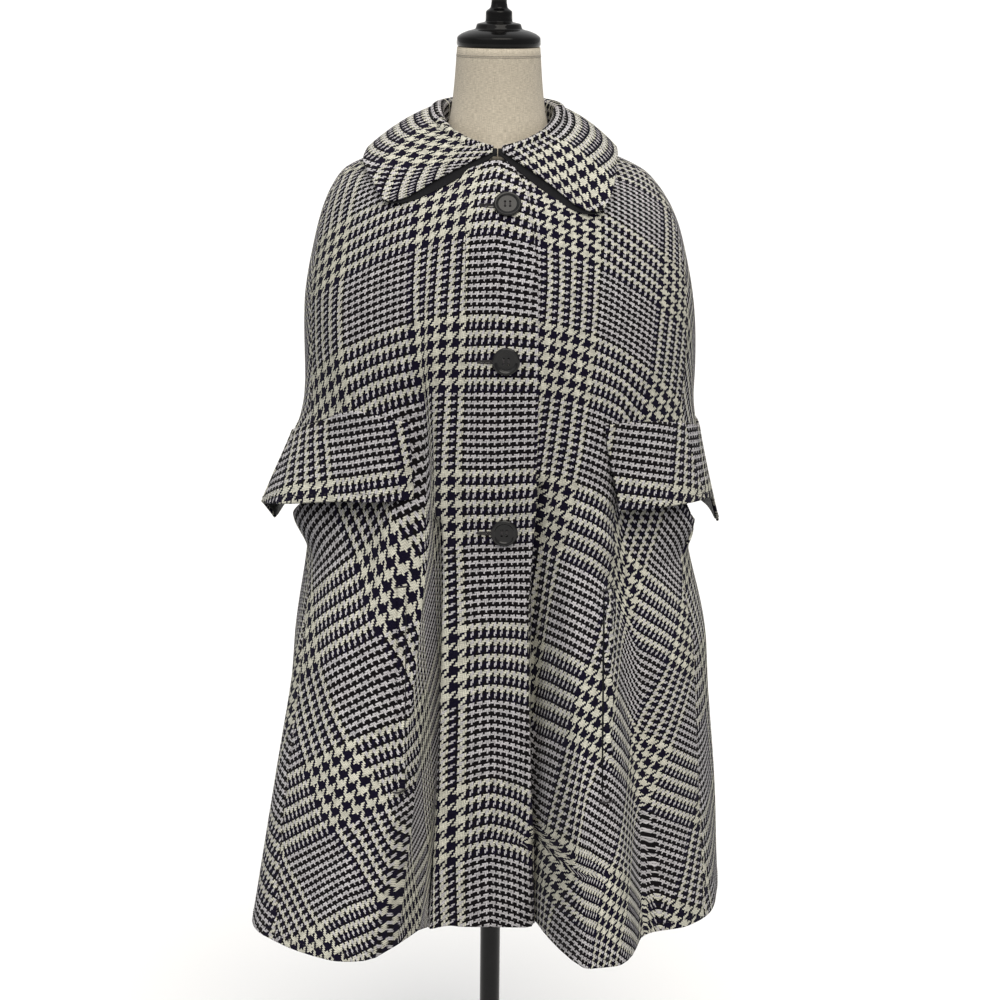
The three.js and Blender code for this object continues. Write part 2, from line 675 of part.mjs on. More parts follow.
// A solid of revolution about Z.
function turned(section, sides = TURNED_SIDES) {
  const points = section.map(({ radius, height }) => new THREE.Vector2(radius, height));
  return new THREE.LatheGeometry(points, sides).rotateX(Math.PI / 2);
}

// A sewn-through button: a dished disc with a raised rim and four holes.
function buttonGeometry() {
  const section = BUTTON_SECTION.map(({ inset, height }) => ({ radius: BUTTON_RADIUS - inset, height }));
  const { radius, spacing, depth } = BUTTON_HOLE;
  let body = solidOf(turned(section, BUTTON_SIDES));
  for (const x of [-spacing, spacing]) {
    for (const y of [-spacing, spacing]) {
      const hole = new THREE.CylinderGeometry(radius, radius, depth, HOLE_SIDES);
      body = body.subtract(solidOf(hole.rotateX(Math.PI / 2).translate(x, y, 0)));
    }
  }
  return geometryOf(body);
}

// The form's covered body: stacked sections closed by a flat top and bottom.
function formGeometry() {
  const rings = FORM.map(({ height, half, front, back, power }) => {
    const ring = [];
    for (let i = 0; i < FORM_SIDES; i += 1) {
      const angle = (360 * i) / FORM_SIDES - 180;
      const radius = ringRadius(angle, half, Math.abs(angle) <= 90 ? front : back, power);
      ring.push([radius * Math.sin(angle * DEGREE), -radius * Math.cos(angle * DEGREE), height]);
    }
    return ring;
  });
  const places = rings.flat();
  const top = places.push([0, 0, FORM[0].height]) - 1;
  const bottom = places.push([0, 0, FORM[FORM.length - 1].height]) - 1;
  const index = [];
  for (let i = 0; i < FORM_SIDES; i += 1) {
    const next = (i + 1) % FORM_SIDES;
    const low = (rings.length - 1) * FORM_SIDES;
    index.push(top, i, next, bottom, low + next, low + i);
    for (let start = 0; start < low; start += FORM_SIDES) {
      const below = start + FORM_SIDES;
      index.push(start + i, below + i, below + next, start + i, below + next, start + next);
    }
  }
  const geometry = new THREE.BufferGeometry();
  geometry.setAttribute("position", new THREE.Float32BufferAttribute(places.flat(), 3));
  geometry.setIndex(index);
  return geometry;
}

// Materials
const paint = (color, roughness) => new THREE.MeshStandardMaterial({ color, roughness, metalness: 0 });
const CHECK = paint(0x6b6769, 0.95);
const DARK_CLOTH = paint(0x101014, 0.8);
const LINEN = paint(0xc8beac, 0.9);
const BLACK_GLOSS = paint(0x0b0b0c, 0.25);
const BUTTON = paint(0x1b1b1d, 0.3);

const coat = new THREE.Group();

function add(name, geometry, material) {
  const mesh = new THREE.Mesh(geometry, material);
  mesh.name = name;
  coat.add(mesh);
  return mesh;
}

// Fronts, back, cuffs and pockets
add("front_right", frontPanel(-1), CHECK);
add("front_left", frontPanel(1), CHECK);
add("back", backPanel(), CHECK);

const COLUMNS = steps(SIDE_COLUMNS);
for (const side of [-1, 1]) {
  const name = sideName(side);
  add(`cuff_front_${name}`, cuff(side, false, CUFF_ROWS, COLUMNS, LAP_LIFT, CLOTH), CHECK);
  add(`cuff_back_${name}`, cuff(side, true, CUFF_ROWS, COLUMNS, LAP_LIFT, CLOTH), CHECK);
  const lined = COLUMNS.slice(0, LINED_COLUMNS);
  add(`cuff_lining_${name}`, cuff(side, true, LINING_ROWS, lined, LINING_LIFT, LINING), DARK_CLOTH);
  add(`pocket_welt_${name}`, welt(WELTS[name]), CHECK);
}

// Collar and buttons
add("collar_top", collarLayer(true), CHECK);
add("collar_under", collarLayer(false), DARK_CLOTH);

BUTTONS.forEach(({ height, gap }, i) => {
  const { point, normal } = coatCorner(angleAt(BUTTON_X, height), height, "skirt", LAP_LIFT + gap);
  const button = add(`button_${i + 1}`, buttonGeometry(), BUTTON);
  button.position.copy(point);
  button.quaternion.setFromUnitVectors(new THREE.Vector3(0, 0, 1), normal);
});

// Dress form and stand
const formTop = FORM[0].height;
const poleBottom = BASE_TOP + SEAM_GAP;
const poleTop = FORM[FORM.length - 1].height - SEAM_GAP;
const poleSection = [
  { radius: 0, height: poleBottom },
  { radius: POLE_RADIUS, height: poleBottom },
  { radius: POLE_RADIUS, height: poleTop },
  { radius: 0, height: poleTop },
];
add("dress_form", formGeometry(), LINEN);
add("neck_cap", turned(CAP), BLACK_GLOSS).position.z = formTop;
add("pole", turned(poleSection), BLACK_GLOSS);
add("base", turned(BASE), BLACK_GLOSS);

export default coat;
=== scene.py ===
"""A checked wool poncho coat on a limbless dress form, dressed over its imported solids.

The tables are in millimetres. Angles go round the stand's axis in degrees: 0 is straight ahead
of the coat, which faces -Y, and positive angles turn toward +X, the wearer's left.
"""
import math

import bpy
import numpy as np
from mathutils import Matrix, kdtree


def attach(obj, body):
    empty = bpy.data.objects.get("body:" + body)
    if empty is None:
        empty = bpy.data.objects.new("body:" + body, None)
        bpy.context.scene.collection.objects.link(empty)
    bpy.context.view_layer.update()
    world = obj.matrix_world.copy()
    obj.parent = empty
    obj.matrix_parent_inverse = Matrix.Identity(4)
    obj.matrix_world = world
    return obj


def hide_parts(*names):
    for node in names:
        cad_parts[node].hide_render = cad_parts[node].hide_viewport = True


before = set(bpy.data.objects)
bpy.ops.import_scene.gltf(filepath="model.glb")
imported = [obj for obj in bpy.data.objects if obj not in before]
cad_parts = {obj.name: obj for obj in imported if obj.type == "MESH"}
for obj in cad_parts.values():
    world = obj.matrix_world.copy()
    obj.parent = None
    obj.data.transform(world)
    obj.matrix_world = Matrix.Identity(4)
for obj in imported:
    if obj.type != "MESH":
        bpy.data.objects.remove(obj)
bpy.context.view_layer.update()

MM = 0.001
DEGREE = math.pi / 180
SIDE_NAMES = {-1: "right", 1: "left"}

# Cloth and clearances
CLOTH = 3
THIN_CLOTH = 1.6
SEAM_GAP = 0.3
SEAM_SPARE = 0.06
LAP_LIFT = CLOTH + 0.75

# Main levels at the front
NECK_HEIGHT = 1278
SLIT_HEIGHT = 1000
EAR_HEIGHT = 880
SIDE_SEAM_TOP = 837
SKIRT_FIRST_ROW = 960
HEM_HEIGHT = 430


def table(columns, *rows):
    """Named columns of numbers in the order of the first column, which is also called key."""
    values = np.array(sorted(rows), float)
    named = {name: values[:, i] for i, name in enumerate(columns.split())}
    return {"key": values[:, 0], **named}


RINGS = table(
    "height side_rise back_rise right left front back power",
    (1278, 30, 40, 65, 65, 80, 63, 2.0),
    (1258, 32, 42, 106, 104, 102, 88, 2.0),
    (1222, 36, 34, 175, 170, 130, 120, 2.15),
    (1170, 30, 20, 201, 205, 148, 140, 2.3),
    (1110, 6, 2, 214, 221, 158, 152, 2.5),
    (1050, 0, 0, 215, 224, 162, 158, 2.6),
    (1000, 0, 0, 218, 226, 163, 162, 2.6),
    (886, 0, 0, 229, 233, 166, 172, 2.6),
    (760, 0, 0, 230, 246, 185, 182, 2.6),
    (600, 0, 0, 242, 257, 215, 194, 2.6),
    (430, 0, 0, 254, 271, 246, 206, 2.6),
)
RISE_POWER = 1.6

# Large soft folds: angle at the top and hem, half-width, width of the flanks, depth out at three
# heights, and lean aside.
FOLDS = (
    (0, -0.5, 20.5, 5, 0, -26, -66, 0),
    (-29, -24, 1, 8, -16, -16, 0, 0),
    (-46, -41, 8, 20, -2, 22, 58, 0),
    (-66, -62, 0, 14, 0, 8, 20, 0),
    (24, 19, 0, 6, -6, -14, -6, 0),
    (34, 28, 3, 9, 4, 24, 44, -26),
    (46, 43, 0, 9, -5, -12, -12, 0),
    (62, 60, 0, 14, 0, 3, 6, 0),
    (108, 112, 2, 15, 0, 8, 18, 0),
    (134, 137, 0, 12, -4, -14, -26, 0),
    (158, 157, 2, 13, 3, 12, 26, 4),
    (180, 179, 0, 11, -3, -8, -16, 0),
    (203, 200, 2, 14, 3, 14, 28, -4),
    (226, 222, 0, 12, -4, -12, -24, 0),
    (250, 246, 2, 14, 0, 8, 16, 0),
)
FOLD_START = 1130
FOLD_SLIT = 930
FOLD_POCKET = 700

# Small creases: where each starts and ends, its half-width, and how far it stands out
CREASES = (
    (17.4, 930, 17.2, 390, 8, -40),
    (-22.4, 890, -22.2, 380, 7, -40),
    (-38, 985, -22, 820, 16, -3),
    (-14, 1120, -34, 1040, 18, 2.5),
    (-58, 1120, -48, 985, 18, 3),
    (-52, 820, -40, 640, 22, 4),
    (-36, 560, -48, 440, 18, -3),
    (-9, 700, -12, 520, 16, 1.5),
    (12, 640, 8, 480, 14, -2),
    (28, 905, 50, 838, 11, 4),
    (24, 868, 47, 800, 12, -3.5),
    (52, 1100, 41, 975, 20, 3),
    (40, 640, 52, 470, 20, 4),
    (84, 1120, 98, 985, 22, 4),
    (-84, 1130, -100, 985, 22, 3.5),
    (120, 1150, 134, 900, 26, -4),
    (-118, 1140, -136, 930, 24, 4),
    (160, 1120, 150, 860, 28, 4),
    (-164, 1140, -152, 820, 26, -4),
    (178, 900, 170, 620, 30, 3.5),
    (-170, 760, -158, 480, 26, -4),
    (146, 700, 138, 470, 24, 4),
    (110, 760, 118, 560, 22, -4),
    (-104, 720, -116, 500, 24, 4),
    (-76, 660, -82, 470, 20, -3),
    (80, 640, 86, 470, 20, 3),
    (128, 560, 124, 440, 20, 3),
    (-138, 600, -130, 440, 20, -3),
)
CREASE_TOP, CREASE_FADE = 1185, 60
ARC = 4.0

# Angles of the seams between front and back above and below the slits, and of the slits' ends
UPPER_SEAM = table(
    "height right left",
    (1278, 88, 88), (1222, 83, 83), (1110, 73, 73), (1050, 70, 69), (1005, 70, 67),
    (970, 75, 68), (890, 77, 73),
)
LOWER_SEAM = table(
    "height right left",
    (880, 75.5, 72), (837, 75, 70), (790, 64, 67), (700, 57, 64), (570, 52, 61), (430, 47, 58),
)
SLIT_LINE = table("height right left", (1278, 40, 44), (1000, 32.5, 38), (908, 31.5, 42), (430, 31, 42))
BACK_SLIT = 147

# Lower edges of the cape and of the cuffs round each side, and how far the cuffs slope out
CAPE_FOOT = table(
    "angle right left",
    (32, 1000, 1000), (50, 1009, 1000), (68, 984, 989), (77, 970, 980), (88, 962, 972),
    (112, 972, 972), (147, 1000, 1000),
)
CUFF_FOOT = table(
    "angle right left",
    (32, 918, 908), (50, 912, 908), (68, 896, 903), (77, 887, 894), (88, 858, 856),
    (112, 868, 866), (147, 905, 905),
)
CUFF_SLOPE = table(
    "angle right left",
    (32, 0.12, 0.12), (50, 0.15, 0.14), (68, 0.36, 0.15), (77, 0.38, 0.16), (88, 0.18, 0.17),
    (112, 0.14, 0.15), (147, 0.07, 0.07),
)
SLOPE_START = 1012
SLOPE_EASE = 40
SLOPE_SPAN = 7.5
CUFF_LEVEL = 970
CUFF_LAP = 4
CUFF_EASE = 1.5
LINING_LIFT = LAP_LIFT - CLOTH - SEAM_GAP - 0.15
LINING_END = 0.875
LINING_FROM, LINING_TO = 0.2, 0.97

# The side parts under the cuffs hang closer in, and their free corner juts out
TUCK_DEPTH, TUCK_SPAN, TUCK_FULL, TUCK_END = 15, 15, 860, 720
EAR_JUT, EAR_ANGLE, EAR_SPAN, EAR_START = 20, 75, 14, SIDE_SEAM_TOP - 8

# Front overlap
FRONT_EDGE = table(
    "height over",
    (1278, 14), (1236, 34), (1150, 44), (1000, 46), (800, 38), (600, 42), (500, 46), (430, 52),
)
UNDER_EDGE = -24
LAP_START, LAP_FULL, LAP_NECK_END, LAP_NECK_SPAN = -52, -28, 15, 12

# Collar: roll line round the neck, and where its outer edge lies on the coat
COLLAR_ROLL = table(
    "angle out height bow",
    (4, 69, 1292, 8), (22, 68, 1298, 11), (45, 66, 1308, 12), (68, 64, 1320, 12), (92, 63, 1332, 10),
    (125, 64, 1335, 10), (155, 66, 1337, 11), (180, 66, 1338, 11),
)
COLLAR_EDGE = table(
    "angle right left",
    (4, 44.5, 40), (22, 48.5, 45), (45, 58, 57), (68, 72, 71), (92, 90, 90), (125, 122, 122),
    (155, 152, 152), (180, 180, 180),
)
COLLAR_LEVEL = table(
    "angle right left",
    (4, 1212, 1204), (22, 1216, 1211), (45, 1228, 1231), (68, 1236, 1242), (92, 1242, 1246),
    (125, 1239, 1241), (155, 1230, 1231), (180, 1226, 1226),
)
COLLAR_ROUNDING, COLLAR_TIP_SPAN = 0.24, 24
COLLAR_START = 4
COLLAR_TURN = 5
COLLAR_LIFT = 7.3
COLLAR_FOOT_LIFT = 1
COLLAR_PARTING = 0.5
COLLAR_FRONT_SHIFT = 0.8

WELT_X = {-1: -101, 1: 125}
WELT_TOP, WELT_BOTTOM, WELT_WIDTH, WELT_LIFT = 822, 606, 9, 1

BUTTON_X = 11
BUTTONS = ((1234, 0.1), (1074, 0.3), (886, 0.8))

# Buttons: what each row of a section is in from the rim, and its height
BUTTON_RADIUS = 14.8
BUTTON_SECTION = ((14.8, 0), (2, 0), (0, 1.2), (0, 2.8), (1.6, 4.2), (3.6, 3.6), (5, 2.6), (14.8, 2.4))
BUTTON_FLOOR = 2.4
BUTTON_HOLE_RADIUS, BUTTON_HOLE_SPACING = 1.3, 2.7
DRILL_FROM, DRILL_TO, DRILL_SIDES = -4.0, 8.0, 24
STRANDS, STRAND_RADIUS, STRAND_DEPTH, STEM_RADIUS = (-0.55, 0, 0.55), 0.38, 3.2, 3.2
HOLE_X, HOLE_HALF, HOLE_RISE = -2, 17, 1.4

# Dress form, turned cap above its neck, base and pole
FORM = table(
    "height half front back power",
    (1396, 46, 46, 46, 2), (1350, 49.5, 49.5, 49.5, 2), (1318, 54, 54, 54, 2),
    (1304, 59, 57, 56, 1.8), (1296.8, 76, 60, 59, 1.5), (1287.8, 99, 64, 66, 1.4),
    (1274.8, 128, 71, 80, 1.4), (1257.8, 156, 82, 92, 1.55), (1230, 165, 97, 100, 1.8),
    (1170, 160, 119, 104, 2.1), (1120, 152, 125, 98, 2.1), (1060, 134, 108, 88, 2.1),
    (1000, 122, 98, 84, 2.1), (930, 136, 106, 96, 2.1), (850, 160, 114, 112, 2.1),
    (780, 168, 115, 114, 2.1), (730, 162, 110, 108, 2.1),
)
FORM_INSET, FORM_COVERED, FORM_EASE = 2.5, 1306, 14
FORM_SEAM = 1388
CAP = ((0, 0.3), (44.5, 0.3), (46.5, 4), (46, 10), (42, 14), (34, 17.5), (26, 20), (24, 25), (15, 28),
       (14.5, 38), (9.5, 43), (8.5, 50), (12.8, 57), (12, 65), (6, 71), (0, 72.5))
BASE = ((0, 0), (170, 0), (170, 10), (150, 16), (40, 24), (30, 34), (0, 34))
POLE_RADIUS = 12

# Stitching: the length, gap and radius of the stitches, and where their rows run
EDGE_STITCHES, HEM_STITCHES, SEAM_STITCHES = (3.2, 1.3, 0.45), (3.4, 2.2, 0.42), (3.2, 2.6, 0.4)
HOLE_STITCHES = (0.8, 0.25, 0.75)
EDGE_STITCH_X, EDGE_STITCH_TOP, EDGE_STITCH_END = -33, 1243, 1120
HEM_STITCH, CUFF_STITCH = 9, 9
SEAM_LEAN, HOLE_LEAN = 38, 80
# The welts' cloth, and the radius of a dark cord of lining that paints the shade inside each pocket's
# opening
WELT_CLOTH, SLIT_SHADE_CORD = 1.2, 1.1
LINING_THICKNESS = 1
TURNED_EDGE = 2

# Weave: threads in a repeat, their pitches in millimetres, and where a coarse band starts
REPEAT = 80
WARP_PITCH, WEFT_PITCH = 1.93, 2.2
WARP_START, WEFT_START = 49, 130
LEFT_LAYOUT_X = 46
CUFF_TURN = {(-1, False): -24, (-1, True): -20, (1, False): 29, (1, True): 22}
CUFF_PLACE = {-1: (111, 104), 1: (57, 104)}
COLLAR_HALF, COLLAR_LEAN, COLLAR_SHIFT = 310, (0.1, -0.67), 34
COLLAR_SPARE = 0.8
# The lower collar is dark lining cloth; its front edge drops below the top collar's so that a dark band
# shows there, partly the dark under collar and partly painted shade under the collar's edge
COLLAR_UNDER_SHADE_DROP, COLLAR_UNDER_OUT, COLLAR_UNDER_START = 17, 0.6, 0.3

# How the weave of each front drifts from the layout of its flat cut, in threads. Rows go up from
# a height and columns go round from an angle, both in even steps, and the last column is the jump
# across the valley of a deep fold. The numbers of both tables weren't chosen by hand: they are a
# least-squares fit, rounded, to places of the stripes that were read off the photograph.
DRAPE_HEIGHT, DRAPE_RISE = 300, 180
DRAPE_ANGLE, DRAPE_TURN = -20, 20
VALLEY = {-1: (21.7, 26.5), 1: (43, 46)}
VALLEY_SPAN = {-1: 1.6, 1: 3}
WARP_DRAPE = {
    -1: (
        (0, 1, 4, 13, 25, 36, 45, -224),
        (0, 4, 10, 27, 30, 32, 33, -147),
        (1, 5, 9, 32, 31, 26, 22, -108),
        (1, 5, 8, 18, 17, 15, 12, -62),
        (2, 4, -1, -1, 3, 3, 2, -4),
        (2, 3, -3, -6, -7, -8, -10, -2),
        (1, 3, 3, -2, -11, -18, -23, 0),
    ),
    1: (
        (-12, 39, 141, 204, 212, 195, 171, -86),
        (-8, 33, 110, 146, 143, 136, 130, -25),
        (-4, 17, 53, 66, 77, 85, 92, 10),
        (-2, 4, 18, 24, 37, 49, 60, -5),
        (-2, -3, 5, 17, 21, 25, 30, 0),
        (-1, -2, 2, 10, 10, 7, 4, 0),
        (0, 1, 3, 3, -2, -10, -20, 0),
    ),
}
WEFT_DRAPE = {
    -1: (
        (-3, 1, 14, 42, 60, 69, 75, 37),
        (-3, -3, 8, 36, 48, 58, 68, 30),
        (-3, -6, 5, 21, 33, 48, 62, 38),
        (-1, -4, -5, 7, 24, 42, 59, 31),
        (0, 0, -2, 2, 18, 39, 59, -2),
        (0, 2, 6, 16, 33, 46, 60, 1),
        (-1, 3, 14, 28, 44, 54, 62, 0),
    ),
    1: (
        (-4, 4, 29, 59, 76, 83, 86, -10),
        (-4, 0, 24, 55, 66, 73, 81, -9),
        (-3, 0, 17, 38, 52, 64, 78, 7),
        (-1, -1, 0, 14, 37, 58, 78, 19),
        (0, 1, -1, 3, 28, 56, 80, -1),
        (-1, 3, 10, 21, 45, 64, 82, 2),
        (-2, 5, 20, 39, 58, 72, 85, 0),
    ),
}
BACK_DROP, BACK_TURN_LOW, BACK_TURN_HIGH = (-8, 30), 700, 1000

# Wool: colours of the yarns and of the brushed haze, and how far fuzz moves their edges in threads
WOOL_FUZZ, WOOL_WANDER = 0.8, 1.2
DARK_SPREAD = 0.4
COARSE_DARK = (15, 11, 35)
COARSE_LIGHT = (229, 227, 211)
FINE_DARK = (15, 13, 15)
FINE_LIGHT = (216, 213, 216)
BRUSHED_TINT = (110, 105, 106)
SHADE_TINT = (16, 14, 18)
HAZE_GAIN, HAZE_START = 1.5, -0.82
# Painted shade: how fast each thread darkens toward the grooves at its edges, and how dark it gets
# there
GROOVE_SHADE_GAIN, GROOVE_SHADE_DEPTH = -1.6, 0.45
TONE_GAIN, TONE_START = 0.9, -0.3

# Light: the sky's brightness at the horizon, how fast it rises above and falls below and to what,
# and soft suns with their strength, apparent size, tip from overhead, swing round and tint
SKY_LEVEL, SKY_RISE, SKY_FALL, SKY_LOW = 0.5, 0.35, 1.0, 0.08
SUNS = (
    ("key", 1.9, 48, 40, 12, (1, 0.95, 0.87)),
    ("fill", 0.3, 55, 50, -40, (1, 1, 1)),
)
FLOOR_RADIUS, FLOOR_SIDES = 400000, 96
FLOOR_TINT = (250, 250, 250)

# Camera, worked out from the photograph: its place in metres, its lens and its turns in degrees
CAMERA_PLACE = (0, -2.5, 1.5)
CAMERA_SENSOR, CAMERA_LENS = 36, 80
CAMERA_TILT, CAMERA_YAW, CAMERA_ROLL = 76.1, -0.15, 0.59

# Size of the cells that the cloth is made of, and how its edges are rounded
CELL = 4.2
COARSE = 19
EDGE_STEPS = (0, 0.1, 0.4, 0.9, 1.6)
NORMAL_STEP = 0.6
SEARCH_ANGLE = 60
SEARCH_TURNS = 20


def mix(a, b, t):
    return a + (b - a) * t


def ease(value):
    t = np.clip(value, 0, 1)
    return t * t * (3 - 2 * t)


def wrap(angle):
    return (np.asarray(angle) + 180) % 360 - 180


def read(source, column, value):
    """A table's column at the given keys, on a smooth curve without overshoot."""
    key, level = source["key"], source[column]
    value = np.clip(value, key[0], key[-1])
    row = np.clip(np.searchsorted(key, value, "right") - 1, 0, len(key) - 2)
    inner = np.diff(level) / np.diff(key)
    same_way = inner[:-1] * inner[1:] > 0
    total = np.where(same_way, inner[:-1] + inner[1:], 1)
    middle = np.where(same_way, 2 * inner[:-1] * inner[1:] / total, 0)
    start = np.concatenate([inner[:1], middle])[row]
    end = np.concatenate([middle, inner[-1:]])[row]
    span = key[row + 1] - key[row]
    t = (value - key[row]) / span
    bend = span * t * (1 - t) * (start * (1 - t) - end * t)
    return mix(level[row], level[row + 1], ease(t)) + bend


def around(points):
    """Angles of points round the axis, from -180 to 180."""
    return np.degrees(np.arctan2(points[:, 0], -points[:, 1]))


def by_side(source, value, side):
    return np.where(np.asarray(side) < 0, read(source, "right", value), read(source, "left", value))


def ring_radius(angle, half, depth, power):
    across = np.abs(np.sin(angle * DEGREE)) / half
    ahead = np.abs(np.cos(angle * DEGREE)) / depth
    return (across ** power + ahead ** power) ** (-1 / power)


def fold_offsets(angle, height):
    """How far the large folds move the cloth out and aside."""
    down = np.clip((FOLD_START - height) / (FOLD_START - HEM_HEIGHT), 0, 1)
    upper = ease((FOLD_START - height) / (FOLD_START - FOLD_SLIT))
    out = np.zeros(np.broadcast(angle, height).shape)
    aside = np.zeros_like(out)
    for top, hem, flat, edge, slit, pocket, low, lean in FOLDS:
        middle = np.interp(height, (HEM_HEIGHT, FOLD_POCKET, FOLD_SLIT), (low, pocket, slit))
        depth = np.where(height >= FOLD_SLIT, slit * upper, middle)
        distance = np.abs(wrap(angle - mix(top, hem, down)))
        depth = depth * (1 - ease((distance - flat) / edge))
        out = out + depth
        if lean:
            aside = aside + lean * depth / low
    return out, aside


def crease_offset(angle, height):
    """How far the small creases move the cloth out."""
    out = np.zeros(np.broadcast(angle, height).shape)
    for from_angle, from_height, to_angle, to_height, width, depth in CREASES:
        way = np.array([wrap(to_angle - from_angle) * ARC, to_height - from_height])
        across, up = wrap(angle - from_angle) * ARC, height - from_height
        share = np.clip((across * way[0] + up * way[1]) / (way @ way), 0, 1)
        distance = np.hypot(across - share * way[0], up - share * way[1])
        level = 0.35 + 0.65 * np.sin(np.pi * share)
        out = out + depth * level * np.exp(-(distance / width) ** 2)
    return out * ease((CREASE_TOP - height) / CREASE_FADE)


def beside_slit(angle, span):
    """0 in the joined middle of front and back, 1 well past the slits' ends."""
    distance = np.abs(angle)
    front_end = by_side(SLIT_LINE, SLIT_HEIGHT, angle)
    return ease(np.where(distance > 90, BACK_SLIT - distance, distance - front_end) / span)


def coat_point(angle, height, layer):
    """Points of the coat's outer face. Layer is cape above the slits and skirt below them."""
    angle, height = np.broadcast_arrays(wrap(angle), np.asarray(height, float))
    is_ahead = np.abs(angle) < 90
    depth = np.where(is_ahead, read(RINGS, "front", height), read(RINGS, "back", height))
    out, aside = fold_offsets(angle, height)
    radius = ring_radius(angle, by_side(RINGS, height, angle), depth, read(RINGS, "power", height))
    radius = radius + out + crease_offset(angle, height)
    if layer == "cape":
        drop = np.maximum(SLOPE_START - height, 0)
        slope = by_side(CUFF_SLOPE, np.abs(angle), angle) * beside_slit(angle, SLOPE_SPAN)
        radius = radius + slope * drop * drop / (drop + SLOPE_EASE)
    else:
        tucked = ease((height - TUCK_END) / (TUCK_FULL - TUCK_END))
        radius = radius - TUCK_DEPTH * beside_slit(angle, TUCK_SPAN) * tucked
        near_ear = np.exp(-(((np.abs(angle) - EAR_ANGLE) / EAR_SPAN) ** 2))
        radius = radius + EAR_JUT * near_ear * ease((height - EAR_START) / (EAR_HEIGHT - EAR_START))
    end_rise = np.where(is_ahead, 0, read(RINGS, "back_rise", height))
    share = np.abs(np.cos(angle * DEGREE)) ** RISE_POWER
    rise = mix(read(RINGS, "side_rise", height), end_rise, share)
    sine, cosine = np.sin(angle * DEGREE), np.cos(angle * DEGREE)
    x = radius * sine + aside * cosine
    y = -radius * cosine + aside * sine
    return np.stack([x, y, height + rise], -1)


def unit(vectors):
    return vectors / np.maximum(np.linalg.norm(vectors, axis=-1, keepdims=True), 1e-9)


def coat_corner(angle, height, layer, lift=0.0):
    """Points moved out along the coat's own directions, and those directions."""
    step = NORMAL_STEP
    across = coat_point(angle + step, height, layer) - coat_point(angle - step, height, layer)
    down = coat_point(angle, height - step, layer) - coat_point(angle, height + step, layer)
    normal = unit(-np.cross(across, down))
    return coat_point(angle, height, layer) + normal * np.asarray(lift)[..., None], normal


def angle_at(x, height):
    """Angle at which the coat's front lies at a distance x from the middle plane."""
    x, height = np.broadcast_arrays(np.asarray(x, float), np.asarray(height, float))
    low = np.full(x.shape, -SEARCH_ANGLE, float)
    high = np.full(x.shape, SEARCH_ANGLE, float)
    for _ in range(SEARCH_TURNS):
        middle = (low + high) / 2
        is_short = coat_point(middle, height, "skirt")[..., 0] < x
        low = np.where(is_short, middle, low)
        high = np.where(is_short, high, middle)
    return (low + high) / 2


def lap_lift(x):
    return LAP_LIFT * ease((x - LAP_START) / (LAP_FULL - LAP_START))


def seam_angle(seam, height, side, toward):
    """Angle of a seam's edge. Toward is 1 for the piece behind the seam and -1 ahead of it."""
    angle = read(seam, SIDE_NAMES[side], height)
    place = coat_point(side * angle, height, "cape")
    half = (SEAM_GAP / 2 + SEAM_SPARE) / (np.hypot(place[..., 0], place[..., 1]) * DEGREE)
    return side * (angle + toward * half)


def shares(length, cell, from_edge=True, to_edge=True):
    """Shares from 0 to 1 of a length, in cells, with close steps beside each free edge."""
    count = max(int(round(length / cell)), 2)
    inner = np.linspace(0, 1, count + 1)
    if cell > CELL:
        return inner
    start = np.array(EDGE_STEPS) / length if from_edge else np.zeros(1)
    end = 1 - (np.array(EDGE_STEPS)[::-1] / length if to_edge else np.zeros(1))
    middle = inner[(inner > start[-1] + 0.3 / count) & (inner < end[0] - 0.3 / count)]
    return np.concatenate([start, middle, end])


class Face:
    """One face of cloth: grids of points with directions, some of them sharing corners."""

    def __init__(self):
        self.points, self.normals, self.quads, self.grids = [], [], [], []
        self.count = 0

    def grid(self, points, normals, shared=None):
        """Adds rows of points, top row first, each from lower to higher angle."""
        rows, columns = points.shape[:2]
        ids = np.arange(rows * columns).reshape(rows, columns) + self.count
        if shared is not None:
            own, ids_of_others = shared
            ids[0, own] = ids_of_others
        self.points.append(points.reshape(-1, 3))
        self.normals.append(normals.reshape(-1, 3))
        self.count += rows * columns
        self.quads.append(np.stack(
            [ids[:-1, :-1], ids[1:, :-1], ids[1:, 1:], ids[:-1, 1:]], -1).reshape(-1, 4))
        self.grids.append(ids)
        return ids

    def arrays(self):
        return (np.concatenate(self.points), np.concatenate(self.normals), np.concatenate(self.quads))


